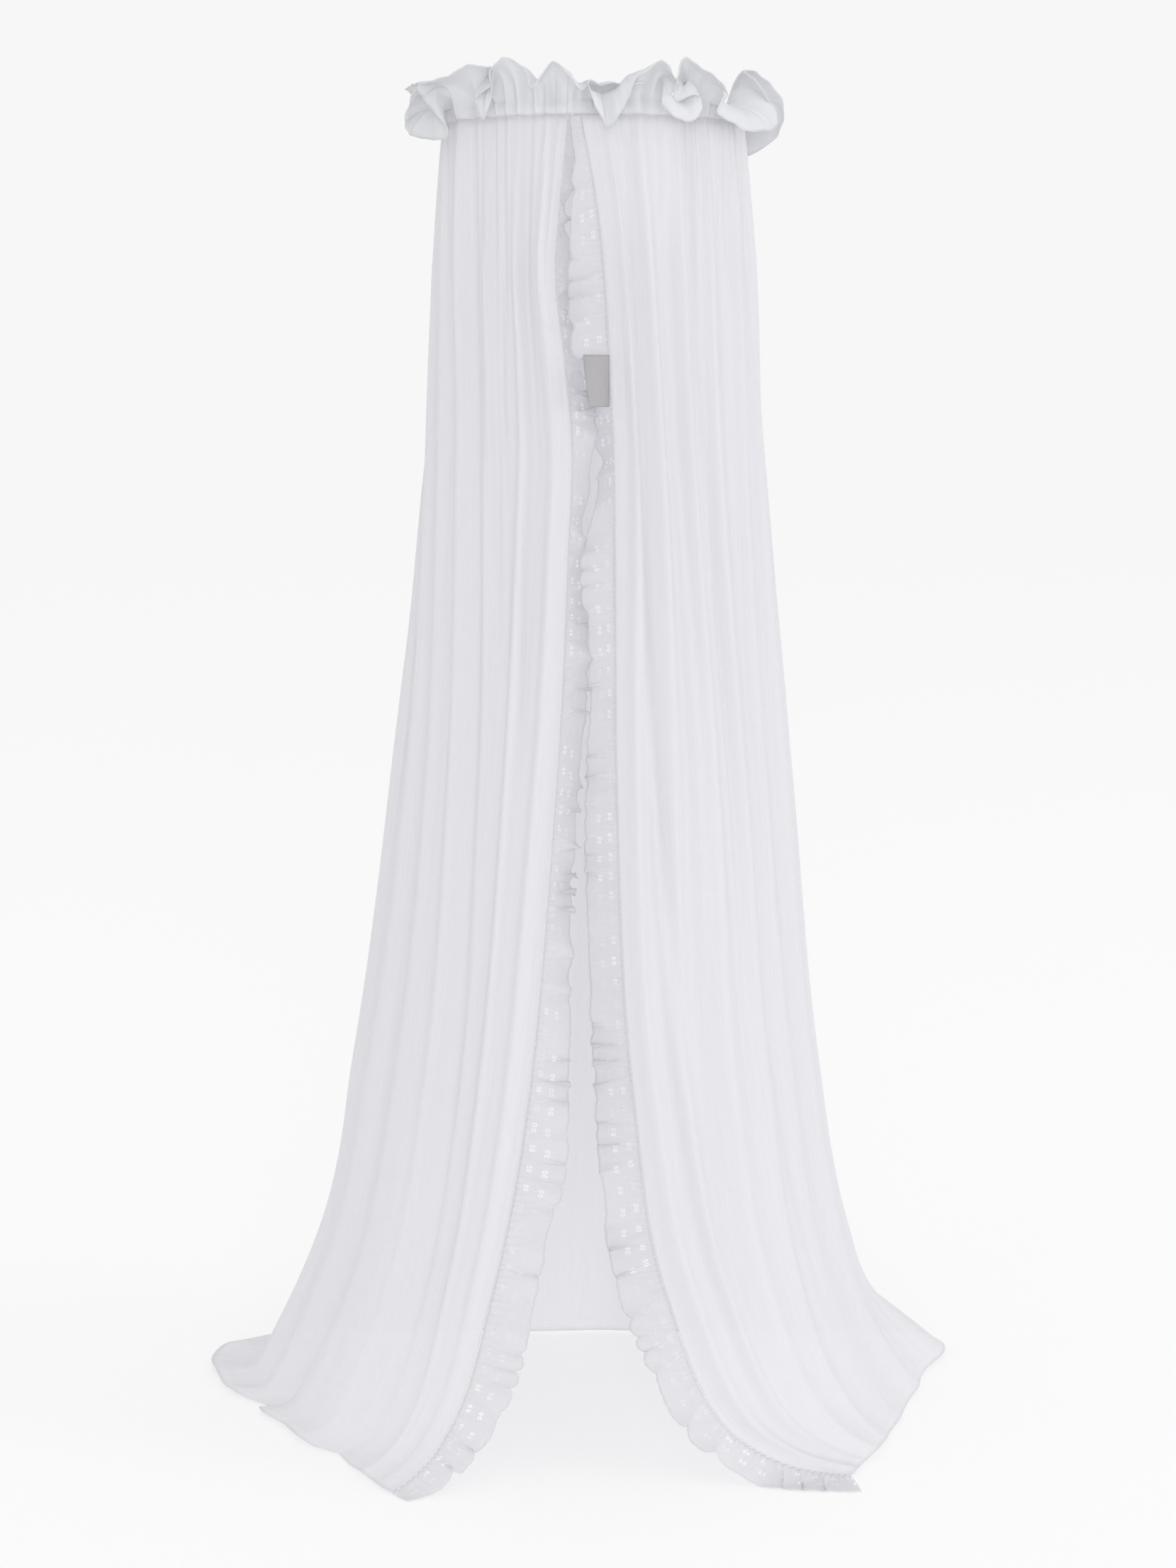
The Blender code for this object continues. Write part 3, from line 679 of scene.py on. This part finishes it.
def gather_wave(shares, rows, sizes):
    """How far the fine gathers under the seam stand out, as an array of column, row.

    The spaces between them vary, and each dies out in its own length.
    """
    along = shares[:, None]
    down = rows[None, :]
    place = along * sizes.gathers
    place = place + 0.8 * np.sin(2 * math.pi * 3.7 * along) + 0.3 * np.sin(2 * math.pi * 11.3 * along)
    place = place + 0.25 * np.sin(2 * math.pi * (1.7 * down + 5.1 * along)) * np.minimum(1, 6 * down)
    strength = GATHER_WEAKEST + GATHER_STRONGER * uneven(place, 3)
    pinch = np.minimum(1, 0.75 + down / 0.05)
    edge = 1 - np.exp(-((np.minimum(shares, 1 - shares) / 0.010) ** 2))[:, None]
    lasting = GATHER_SHORTEST + GATHER_LONGER * uneven(place, 2) ** 2
    depth = sizes.gather_depth * strength * pinch * edge * np.exp(-down / lasting)
    return depth * ridge(2 * math.pi * place, GATHER_SHARPNESS)


def surface_normals(points):
    """Directions square to a grid of points, outwards from the canopy and upwards on the floor."""
    along = np.gradient(points, axis=0)
    down = np.gradient(points, axis=1)
    return unit(np.cross(along, down))


def cloth_points(shares, rows, sizes):
    """The cloth's middle surface, as an array of column, row, coordinate."""
    points = smooth_through(column(GUIDES, "share"), guide_lines(rows), shares)
    for name, away in (("left", shares), ("right", 1 - shares)):
        bow = smooth_through(column(BOWS, "share"), column(BOWS, name) / 1000, rows)
        points[..., 0] += np.exp(-((away / BOW_FADE) ** 2))[:, None] * bow[None, :]
    ends = smooth_through(column(GUIDES, "share"), guide_lines(np.array([ANKLE_SHARE, 1.0])), shares)
    onwards = unit(ends[:, 1, :2] - ends[:, 0, :2])
    scallop = np.interp(shares, column(SCALLOPS, "share"), column(SCALLOPS, "out") / 1000)
    lying = np.clip((rows - ANKLE_SHARE) / (1 - ANKLE_SHARE), 0, 1) ** 2
    points[..., :2] += (onwards * scallop[:, None])[:, None, :] * lying[None, :, None]
    outwards = surface_normals(points)
    stand = fold_wave(shares, rows) + band_wave(shares, rows) + crease_wave(shares, rows)
    stand += gather_wave(shares, rows, sizes)
    points = points + outwards * stand[..., None]
    lowest = -DROP + FLOOR_CLEARANCE
    height = (points[..., 2] - lowest) / FLOOR_SOFTNESS
    far_above = 8
    bent = np.log1p(np.exp(np.minimum(height, far_above)))
    points[..., 2] = lowest + FLOOR_SOFTNESS * np.where(height > far_above, height, bent)
    return points


def cloth_rows():
    """The rows of the cloth's mesh, as shares of its length."""
    spans = [np.linspace(span.start, span.end, span.steps + 1)[:-1] for span in ROW_SPANS]
    return np.concatenate([*spans, [ROW_SPANS[-1].end]])


def grid_mesh(name, points, flat, layers=None):
    """A mesh through a grid of points of column and row, with its flat cut as a UV map in metres."""
    columns, rows = points.shape[:2]
    corner = np.arange(columns * rows).reshape(columns, rows)
    faces = np.stack([corner[:-1, :-1], corner[:-1, 1:], corner[1:, 1:], corner[1:, :-1]], -1)
    mesh = bpy.data.meshes.new(name)
    mesh.from_pydata(points.reshape(-1, 3).tolist(), [], faces.reshape(-1, 4).tolist())
    cut = mesh.uv_layers.new(name="cut")
    corners = np.empty(len(mesh.loops), int)
    mesh.loops.foreach_get("vertex_index", corners)
    cut.data.foreach_set("uv", flat.reshape(-1, 2)[corners].ravel())
    if layers is not None:
        attribute = mesh.attributes.new("layers", "FLOAT", "POINT")
        attribute.data.foreach_set("value", layers.ravel())
    mesh.shade_smooth()
    made = bpy.data.objects.new(name, mesh)
    bpy.context.scene.collection.objects.link(made)
    return made


def give_thickness(piece, thickness):
    """Turns a sheet into a thin closed body, half of its thickness to each side."""
    solid = piece.modifiers.new("thickness", "SOLIDIFY")
    solid.thickness = thickness
    solid.offset = 0
    bpy.context.view_layer.objects.active = piece
    with bpy.context.temp_override(object=piece, active_object=piece, selected_objects=[piece]):
        bpy.ops.object.modifier_apply(modifier=solid.name)


def hand_over(piece, node, finish):
    """Finishes a sheet: gives it its material and its body, and hides the solid that it stands for."""
    piece.data.materials.clear()
    piece.data.materials.append(finish)
    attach(piece, "root")
    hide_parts(node)


def frill_places():
    """The frill's seam bearing, edge bearing, rise and reach at each column of its mesh."""
    places = np.arange(len(LOBES), dtype=float)
    steps = np.linspace(0, places[-1], LOBE_STEPS * (len(LOBES) - 1) + 1)
    seam = smooth_through(places, column(LOBES, "seam_bearing"), steps)
    edge = smooth_through(places, column(LOBES, "edge_bearing"), steps)
    rise = smooth_through(places, column(LOBES, "rise") / 1000, steps)
    reach = smooth_through(places, column(LOBES, "reach") / 1000, steps)
    return seam, edge, rise, reach


def bend_height(lean, reach, rise, length):
    """How high the middle of a bend from the casing to the free edge must pull, so that it is `length` long.

    The height is found by halving the range between none and the highest pull.
    """
    highest_pull = 0.12
    halvings = 24
    low = np.zeros_like(reach)
    high = np.full_like(reach, highest_pull)
    t = np.linspace(0, 1, 13)[None, :]
    for _ in range(halvings):
        middle = (low + high) / 2
        out = 2 * t * (1 - t) * lean[:, None] + t**2 * reach[:, None]
        up = 2 * t * (1 - t) * middle[:, None] + t**2 * rise[:, None]
        long = np.hypot(np.diff(out, axis=1), np.diff(up, axis=1)).sum(1) > length
        high = np.where(long, middle, high)
        low = np.where(long, low, middle)
    return (low + high) / 2


def frill_points(sizes):
    """The frill's middle surface above the seam, with the upright casing round the hoop as its lower part."""
    seam, edge, rise, reach = frill_places()
    share = np.mod(LEFT_EDGE_BEARING - seam, 360) / HOOP_TURN
    tucked = np.clip((seam - TUCK_BEARING) / TUCK_SPAN, 0, 1)
    free = sizes.frill_height - sizes.casing_height - TUCK_CUT * tucked
    rise = rise - sizes.casing_height
    hanging = np.clip((0.010 - rise) / 0.020, 0, 1)
    lean = reach * (FRILL_LEAN + FRILL_HANGING_LEAN * hanging)
    pull = bend_height(lean, reach, rise, free)
    pinch = gather_wave(share, np.array([0.0]), sizes)[:, 0]
    wave = fold_wave(share, np.array([0.0]))[:, 0]
    behind = TUCK * tucked
    grid = []
    for row in range(CASING_ROWS):
        climb = row / CASING_ROWS
        height = -CASING_FOOT + (sizes.casing_height + CASING_FOOT) * climb
        swell = CASING_SWELL * math.sin(math.pi * climb)
        gathered = pinch * (1 + CASING_PINCH * climb)
        grid.append(hoop_point(seam, HOOP_RADIUS + wave + gathered + swell - behind, height))
    crease = np.arange(len(seam)) / LOBE_STEPS
    for row in range(FRILL_ROWS + 1):
        t = row / FRILL_ROWS
        out = 2 * t * (1 - t) * lean + t**2 * reach
        up = 2 * t * (1 - t) * pull + t**2 * rise
        bearing = seam + (edge - seam) * t**1.3
        ripple = FRILL_RIPPLE * t * np.sin(2 * math.pi * 0.61 * crease)
        ripple = ripple + FRILL_CRINKLE * t * np.sin(2 * math.pi * 1.37 * crease + 1)
        fine = (wave + pinch * (1 + CASING_PINCH + 5 * t)) * (1 - t) ** 2 - behind
        radius = HOOP_RADIUS + out + fine + ripple
        grid.append(hoop_point(bearing, radius, sizes.casing_height + up + 0.4 * ripple))
    return np.stack(grid, 1)


def edge_path(side, sizes):
    """The line of the cloth's front edge, from the seam to the hem."""
    rows = cloth_rows()
    shares = np.linspace(0, 1, EDGE_COLUMNS)
    return cloth_points(shares, rows, sizes)[0 if side == 0 else -1]


def ruffle_points(side, stretches, sizes):
    """One ruffle's middle surface, from its sewn edge outwards, and the length run at each column."""
    edge = edge_path(side, sizes)
    lengths = run_lengths(edge)
    waves = round(lengths[-1] / RUFFLE_PITCH)
    at = np.linspace(0, lengths[-1], waves * RUFFLE_STEPS + 1)
    share = at / lengths[-1]
    path = smooth_through(lengths, edge, at)
    tangent = unit(np.gradient(path, axis=0))
    table = column(stretches, "share")
    turn = np.radians(smooth_through(table, column(stretches, "turn"), share))
    width = smooth_through(table, column(stretches, "shown"), share) / np.cos(turn)
    crumple = smooth_through(table, column(stretches, "crumple"), share)
    lying = np.clip((share - KNEE_SHARE) / (1 - KNEE_SHARE), 0, 1)
    facing = unit(np.stack([0 * lying, lying - 1, 0.9 * lying], -1))
    facing = unit(facing - tangent * (facing * tangent).sum(-1, keepdims=True))
    across = np.cross(tangent, facing) * (-1 if side == 0 else 1)
    out = across * np.cos(turn)[:, None] + facing * np.sin(turn)[:, None]
    square = facing * np.cos(turn)[:, None] - across * np.sin(turn)[:, None]
    place = at / RUFFLE_PITCH
    wander = 0.55 * np.sin(0.83 * place + 1.3 * side) + 0.30 * np.sin(2.17 * place + 2.0 * side)
    phase = 2 * math.pi * (place + wander)
    calm = np.clip(share / RUFFLE_CALM_SHARE, 0.2, 1)
    big = (0.35 + 1.0 * uneven(place * 0.8, 7 + side)) * calm * crumple
    small = 0.55 * np.sin(2.3 * phase + 1.1) * crumple * uneven(place * 1.3, 23 + side)
    pucker = np.sin(2 * math.pi * at / RUFFLE_GATHER_PITCH + 2.5 * np.sin(at * 60))
    free = width + RUFFLE_SWAY * np.cos(phase + 0.6) * (0.3 + 1.2 * uneven(place * 0.9, 17 + side))
    grid = []
    for row in np.linspace(0, 1, RUFFLE_ROWS):
        lean = phase - 0.7 * row
        stand = RUFFLE_WAVE * row**1.1 * big * (np.sin(lean) + small * row)
        stand = stand + RUFFLE_GATHER * (1 - row) ** 2.5 * pucker * (0.5 + 0.5 * big)
        lap = RUFFLE_LAP * row * big * np.cos(lean)
        reach = SEAM_GAP + free * row
        grid.append(path + out * reach[:, None] + square * stand[:, None] + tangent * lap[:, None])
    points = np.stack(grid, 1)
    run = run_lengths(points[:, RUFFLE_ROWS // 2])
    scallop = RUFFLE_SCALLOP * np.abs(np.sin(math.pi * run / (sizes.eyelet_repeat / 2)))
    points += (out * scallop[:, None])[:, None, :] * np.linspace(0, 1, RUFFLE_ROWS)[None, :, None] ** 3
    lowest = -DROP + FLOOR_CLEARANCE
    points[..., 2] = np.maximum(points[..., 2], lowest)
    return points, run


def add_node(tree, kind, inputs=None, **settings):
    """A new node with its settings, and its inputs set to values or linked to sockets."""
    made = tree.nodes.new(kind)
    for name, value in settings.items():
        setattr(made, name, value)
    for socket, value in (inputs or {}).items():
        if isinstance(value, bpy.types.NodeSocket):
            tree.links.new(value, made.inputs[socket])
        else:
            made.inputs[socket].default_value = value
    return made


def maths(tree, operation, *values):
    """The result of a Math node on numbers or sockets."""
    return add_node(tree, "ShaderNodeMath", dict(enumerate(values)), operation=operation).outputs[0]


def ramp(tree, value, low, high, out_low=0.0, out_high=1.0):
    """The value carried from one range to another, and kept inside it."""
    inputs = {"Value": value, "From Min": low, "From Max": high, "To Min": out_low, "To Max": out_high}
    return add_node(tree, "ShaderNodeMapRange", inputs, interpolation_type="SMOOTHSTEP").outputs["Result"]


def tint(tree, factor, first, second):
    """A colour between two others. A Mix node's colour sockets come after those for numbers and vectors."""
    inputs = {0: factor, 6: first, 7: second}
    return add_node(tree, "ShaderNodeMix", inputs, data_type="RGBA").outputs[2]


def new_material(name):
    """An empty node material and its tree."""
    made = bpy.data.materials.new(name)
    made.use_nodes = True
    made.node_tree.nodes.clear()
    return made, made.node_tree


def cut_coordinates(tree):
    """The place on the flat cut cloth, in metres, as a vector and as its two numbers."""
    place = add_node(tree, "ShaderNodeUVMap", uv_map="cut").outputs["UV"]
    parts = add_node(tree, "ShaderNodeSeparateXYZ", {"Vector": place})
    return place, parts.outputs["X"], parts.outputs["Y"]


def streaks(tree, place, across, along, detail):
    """Uneven threads: noise drawn out along the cloth, with so many streaks to the metre each way."""
    counts = (across, along, 1.0)
    stretched = add_node(tree, "ShaderNodeVectorMath", {0: place, 1: counts}, operation="MULTIPLY")
    inputs = {"Vector": stretched.outputs[0], "Scale": 1.0, "Detail": detail, "Roughness": 0.6}
    return add_node(tree, "ShaderNodeTexNoise", inputs).outputs["Fac"]


def weave_height(tree, across, along, pitch):
    """A plain weave: each thread goes over and under the ones that it crosses."""
    turns = 2 * math.pi / pitch
    warp = maths(tree, "SINE", maths(tree, "MULTIPLY", across, turns))
    weft = maths(tree, "SINE", maths(tree, "MULTIPLY", along, turns))
    return maths(tree, "MULTIPLY", warp, weft)


def sheer_surface(tree, colour, roughness, normal, density, glow):
    """A thin cloth that reflects light, lets some glow through and shows a little of what is behind it."""
    cloth = add_node(
        tree,
        "ShaderNodeBsdfPrincipled",
        {"Base Color": colour, "Roughness": roughness, "Normal": normal, "Sheen Weight": 0.15,
         "Sheen Roughness": 0.6, "Specular IOR Level": 0.25},
    )
    through = add_node(tree, "ShaderNodeBsdfTranslucent", {"Color": colour, "Normal": normal})
    lit = add_node(tree, "ShaderNodeMixShader", {0: glow, 1: cloth.outputs[0], 2: through.outputs[0]})
    clear = add_node(tree, "ShaderNodeBsdfTransparent")
    seen = add_node(tree, "ShaderNodeMixShader", {0: density, 1: clear.outputs[0], 2: lit.outputs[0]})
    add_node(tree, "ShaderNodeOutputMaterial", {"Surface": seen.outputs[0]})


def muslin_material(name, colour, openness, glow, slub):
    """Plain-woven muslin with long uneven threads, denser where a hem doubles it."""
    made, tree = new_material(name)
    place, across, along = cut_coordinates(tree)
    threads = streaks(tree, place, 420.0, 6.0, 2.0)
    bands = streaks(tree, place, 45.0, 1.1, 2.0)
    fine = ramp(tree, threads, 0.3, 0.7)
    broad = maths(tree, "MULTIPLY", ramp(tree, bands, 0.3, 0.7), 1 - THREAD_SHARE)
    shade = maths(tree, "MULTIPLY_ADD", fine, THREAD_SHARE, broad)
    dark = tuple(channel * (1 - slub) for channel in colour) + (1.0,)
    light = tuple(min(1.0, channel * (1 + slub * 0.6)) for channel in colour) + (1.0,)
    colour_socket = tint(tree, shade, dark, light)
    layers = add_node(tree, "ShaderNodeAttribute", attribute_name="layers").outputs["Fac"]
    gaps = maths(tree, "MULTIPLY", ramp(tree, shade, 0.0, 1.0, 0.9, 1.1), openness)
    seen_through = maths(tree, "POWER", gaps, layers)
    density = maths(tree, "SUBTRACT", 1.0, seen_through)
    weave = weave_height(tree, across, along, MUSLIN_PITCH)
    height = maths(tree, "MULTIPLY_ADD", weave, 0.3, threads)
    bump = add_node(tree, "ShaderNodeBump", {"Height": height, "Strength": 0.05, "Distance": 0.0003})
    roughness = ramp(tree, shade, 0.0, 1.0, 0.80, 0.92)
    sheer_surface(tree, colour_socket, roughness, bump.outputs["Normal"], density, glow)
    return made


def distance_to(tree, across, along, at_across, at_along):
    """The distance from a point of the eyelet pattern's repeat, less far across the ruffle than along it."""
    right = maths(tree, "SUBTRACT", across, at_across)
    up = maths(tree, "MULTIPLY", maths(tree, "SUBTRACT", along, at_along), EYELET_SHAPE)
    squares = maths(tree, "ADD", maths(tree, "MULTIPLY", right, right), maths(tree, "MULTIPLY", up, up))
    return maths(tree, "SQRT", squares)


def eyelet_material(name, colours, sizes):
    """White cotton with small embroidered eyelets in pairs, which show more in some places."""
    made, tree = new_material(name)
    place, run, from_seam = cut_coordinates(tree)
    repeat = sizes.eyelet_repeat
    cell = maths(tree, "MULTIPLY", maths(tree, "FRACT", maths(tree, "DIVIDE", run, repeat)), repeat)
    nearest = None
    for pair in EYELET_PAIRS:
        for side in (-1, 1):
            far = distance_to(tree, cell, from_seam, repeat * pair.share + side * HALF_PAIR, pair.from_seam)
            nearest = far if nearest is None else maths(tree, "MINIMUM", nearest, far)
    radius = sizes.eyelet_radius
    hole = ramp(tree, nearest, radius * 0.85, radius * 1.1, 1.0, 0.0)
    shown = ramp(tree, streaks(tree, place, 14.0, 14.0, 1.0), 0.40, 0.62, 0.15, 1.0)
    rim = maths(tree, "MULTIPLY", ramp(tree, nearest, radius * 1.9, radius * 1.4, 0.0, 1.0), shown)
    slubs = maths(tree, "ADD", streaks(tree, place, 500.0, 30.0, 2.0), streaks(tree, place, 30.0, 500.0, 2.0))
    unevenness = ramp(tree, slubs, 0.75, 1.25)
    cotton = tuple(colours.eyelet_cotton)
    dark = tuple(channel * 0.975 for channel in cotton) + (1.0,)
    ground = tint(tree, unevenness, dark, cotton + (1.0,))
    colour = tint(tree, rim, ground, tuple(colours.thread) + (1.0,))
    closed = maths(tree, "MULTIPLY_ADD", rim, -COTTON_OPENNESS, COTTON_OPENNESS)
    gaps = maths(tree, "MAXIMUM", hole, closed)
    density = maths(tree, "SUBTRACT", 1.0, gaps)
    weave = weave_height(tree, run, from_seam, COTTON_PITCH)
    satin = maths(tree, "SINE", maths(tree, "MULTIPLY", nearest, 9000.0))
    raised = maths(tree, "MULTIPLY", rim, maths(tree, "MULTIPLY_ADD", satin, 0.2, 0.8))
    height = maths(tree, "ADD", maths(tree, "MULTIPLY_ADD", weave, 0.25, slubs), raised)
    bump = add_node(tree, "ShaderNodeBump", {"Height": height, "Strength": 0.25, "Distance": 0.0004})
    roughness = ramp(tree, rim, 0.0, 1.0, 0.85, 0.6)
    sheer_surface(tree, colour, roughness, bump.outputs["Normal"], density, COTTON_GLOW)
    return made


def tag_material(name, colours):
    """Plain grey woven tape."""
    made, tree = new_material(name)
    place, _, along = cut_coordinates(tree)
    ribs = maths(tree, "SINE", maths(tree, "MULTIPLY", along, 2 * math.pi / TAPE_PITCH))
    slubs = streaks(tree, place, 260.0, 1500.0, 2.0)
    tape = tuple(colours.tag)
    dark = tuple(channel * 0.92 for channel in tape) + (1.0,)
    light = tuple(channel * 1.06 for channel in tape) + (1.0,)
    colour = tint(tree, ramp(tree, slubs, 0.3, 0.7), dark, light)
    height = maths(tree, "MULTIPLY_ADD", ribs, 0.4, slubs)
    bump = add_node(tree, "ShaderNodeBump", {"Height": height, "Strength": 0.4, "Distance": 0.0003})
    roughness = ramp(tree, slubs, 0.3, 0.7, 0.6, 0.75)
    cloth = add_node(
        tree,
        "ShaderNodeBsdfPrincipled",
        {"Base Color": colour, "Roughness": roughness, "Normal": bump.outputs["Normal"], "Sheen Weight": 0.2},
    )
    add_node(tree, "ShaderNodeOutputMaterial", {"Surface": cloth.outputs[0]})
    return made


class CANOPY_OT_cloth(bpy.types.Operator):
    """Hang the gathered cloth from the hoop"""

    bl_idname = "canopy.draped_cloth"
    bl_label = "Draped cloth"

    def execute(self, context):
        sizes = context.scene.canopy_sizes
        colours = context.scene.canopy_colours
        shares = np.linspace(0, 1, CLOTH_COLUMNS)
        rows = cloth_rows()
        points = cloth_points(shares, rows, sizes)
        across, down = np.meshgrid(shares * sizes.cut_width, rows * sizes.cut_length, indexing="ij")
        from_side = np.minimum(across, sizes.cut_width - across)
        doubled = (from_side < sizes.side_hem) | (down > sizes.cut_length - sizes.bottom_hem)
        piece = grid_mesh("draped_cloth", points, np.stack([across, down], -1), 1.0 + HEM_DENSITY * doubled)
        give_thickness(piece, sizes.cloth_thickness)
        finish = muslin_material("sheer muslin", tuple(colours.muslin), *SINGLE_MUSLIN)
        hand_over(piece, "canopy_cloth", finish)
        return {"FINISHED"}


class CANOPY_OT_frill(bpy.types.Operator):
    """Raise the frill above the gathering seam"""

    bl_idname = "canopy.ruffled_heading"
    bl_label = "Ruffled heading"

    def execute(self, context):
        sizes = context.scene.canopy_sizes
        colours = context.scene.canopy_colours
        points = frill_points(sizes)
        run = run_lengths(points[:, -1])
        up = run_lengths(points[0])
        across, above = np.meshgrid(run, up / up[-1] * sizes.frill_height, indexing="ij")
        doubled = np.ones(across.shape)
        cut = np.stack([across, above[:, ::-1]], -1)
        piece = grid_mesh("ruffled_heading", points[:, ::-1], cut, doubled)
        give_thickness(piece, sizes.frill_thickness)
        # The frill's colour is the cloth's muslin made darker, as painted shade.
        finish = muslin_material("doubled muslin", tuple(colours.frill), *DOUBLED_MUSLIN)
        hand_over(piece, "heading_frill", finish)
        return {"FINISHED"}


class CANOPY_OT_ruffles(bpy.types.Operator):
    """Sew the eyelet ruffles to the two front edges"""

    bl_idname = "canopy.eyelet_ruffles"
    bl_label = "Eyelet ruffles"

    def execute(self, context):
        sizes = context.scene.canopy_sizes
        finish = eyelet_material("eyelet cotton", context.scene.canopy_colours, sizes)
        sides = (
            ("left_ruffle", "left_trim", 0, LEFT_RUFFLE),
            ("right_ruffle", "right_trim", 1, RIGHT_RUFFLE),
        )
        for name, node, side, stretches in sides:
            points, run = ruffle_points(side, stretches, sizes)
            width = run_lengths(points[len(points) * 3 // 4])
            along, from_seam = np.meshgrid(run, width, indexing="ij")
            if side == 0:
                points, from_seam = points[:, ::-1], from_seam[:, ::-1]
            piece = grid_mesh(name, points, np.stack([along, from_seam], -1))
            give_thickness(piece, sizes.ruffle_thickness)
            hand_over(piece, node, finish)
        return {"FINISHED"}


class CANOPY_OT_tag(bpy.types.Operator):
    """Sew in the bare woven tag"""

    bl_idname = "canopy.woven_tag"
    bl_label = "Woven tag"

    def execute(self, context):
        sizes = context.scene.canopy_sizes
        across = np.linspace(0, 1, TAG_COLUMNS)
        grid = []
        for row in np.linspace(0, 1, TAG_ROWS):
            turn = math.radians(TAG_TURN_TOP + (TAG_TURN_BOTTOM - TAG_TURN_TOP) * row)
            bow = TAG_BOW * np.sin(math.pi * across)
            x = TAG_SEWN_X - sizes.tag_width * across * math.cos(turn) - bow * math.sin(turn)
            sewn_y = TAG_SEWN_Y + TAG_SEWN_SLOPE * row
            y = sewn_y - sizes.tag_width * across * math.sin(turn) - bow * math.cos(turn)
            z = TAG_TOP - sizes.tag_length * row + 0 * across
            grid.append(np.stack([x, y, z], -1))
        points = np.stack(grid, 1)
        flat_across, flat_down = np.meshgrid(
            across * sizes.tag_width, np.linspace(0, sizes.tag_length, TAG_ROWS), indexing="ij"
        )
        piece = grid_mesh("woven_tag", points, np.stack([flat_across, flat_down], -1))
        give_thickness(piece, TAG_THICKNESS)
        finish = tag_material("grey woven tape", context.scene.canopy_colours)
        hand_over(piece, "label", finish)
        return {"FINISHED"}


class CANOPY_OT_studio(bpy.types.Operator):
    """Set up the floor, the soft light and the camera"""

    bl_idname = "canopy.studio"
    bl_label = "Studio"

    def execute(self, context):
        colours = context.scene.canopy_colours
        context.scene.view_settings.view_transform = "Standard"
        context.scene.cycles.diffuse_bounces = 8
        context.scene.cycles.transparent_max_bounces = 24
        bpy.ops.object.select_all(action="DESELECT")
        bpy.ops.mesh.primitive_circle_add(
            vertices=96, radius=FLOOR_RADIUS, fill_type="NGON", location=(0, 0, -DROP - FLOOR_UNDER_HEM)
        )
        floor = context.active_object
        floor.name = "studio_floor"
        made, tree = new_material("pale floor")
        paint = add_node(
            tree,
            "ShaderNodeBsdfPrincipled",
            {"Base Color": tuple(colours.floor) + (1.0,), "Roughness": 0.9, "Specular IOR Level": 0.0,
             "Emission Color": (1.0, 1.0, 1.0, 1.0), "Emission Strength": FLOOR_GLOW},
        )
        add_node(tree, "ShaderNodeOutputMaterial", {"Surface": paint.outputs[0]})
        floor.data.materials.append(made)

        world = bpy.data.worlds.new("soft studio")
        world.use_nodes = True
        background = world.node_tree.nodes["Background"]
        background.inputs["Color"].default_value = (1.0, 1.0, 1.0, 1.0)
        background.inputs["Strength"].default_value = BACKDROP
        context.scene.world = world
        for light in SOFT_LIGHTS:
            place = Vector((light.x, light.y, light.z))
            lamp = bpy.data.lights.new(light.name, "AREA")
            lamp.shape = "DISK"
            lamp.size = light.size
            lamp.energy = light.power
            holder = bpy.data.objects.new(light.name, lamp)
            holder.location = place
            holder.rotation_euler = (Vector((0, 0, -DROP / 2)) - place).to_track_quat("-Z", "Y").to_euler()
            holder.visible_camera = False
            context.scene.collection.objects.link(holder)

        lens = bpy.data.cameras.new("camera")
        lens.lens = CAMERA_LENS
        lens.sensor_width = CAMERA_SENSOR
        lens.clip_end = 100.0
        camera = bpy.data.objects.new("camera", lens)
        camera.location = CAMERA_PLACE
        camera.rotation_euler = (math.radians(90 - CAMERA_TILT), 0, 0)
        context.scene.collection.objects.link(camera)
        context.scene.camera = camera
        return {"FINISHED"}


class CANOPY_PT_panel(bpy.types.Panel):
    """The canopy's pieces, in the sidebar"""

    bl_label = "Bed canopy"
    bl_idname = "CANOPY_PT_panel"
    bl_space_type = "VIEW_3D"
    bl_region_type = "UI"
    bl_category = "Canopy"

    def draw(self, context):
        for operator in OPERATORS:
            self.layout.operator(operator.bl_idname)
        for group in (context.scene.canopy_sizes, context.scene.canopy_colours):
            box = self.layout.box()
            for name in group.__annotations__:
                box.prop(group, name)


OPERATORS = (CANOPY_OT_studio, CANOPY_OT_cloth, CANOPY_OT_frill, CANOPY_OT_ruffles, CANOPY_OT_tag)
CLASSES = (CanopySizes, CanopyColours, *OPERATORS, CANOPY_PT_panel)


def register():
    for kind in CLASSES:
        bpy.utils.register_class(kind)
    bpy.types.Scene.canopy_sizes = PointerProperty(type=CanopySizes)
    bpy.types.Scene.canopy_colours = PointerProperty(type=CanopyColours)


def unregister():
    del bpy.types.Scene.canopy_colours
    del bpy.types.Scene.canopy_sizes
    for kind in reversed(CLASSES):
        bpy.utils.unregister_class(kind)


def main():
    register()
    bpy.ops.canopy.studio()
    bpy.ops.canopy.draped_cloth()
    bpy.ops.canopy.ruffled_heading()
    bpy.ops.canopy.eyelet_ruffles()
    bpy.ops.canopy.woven_tag()


if __name__ == "__main__":
    main()
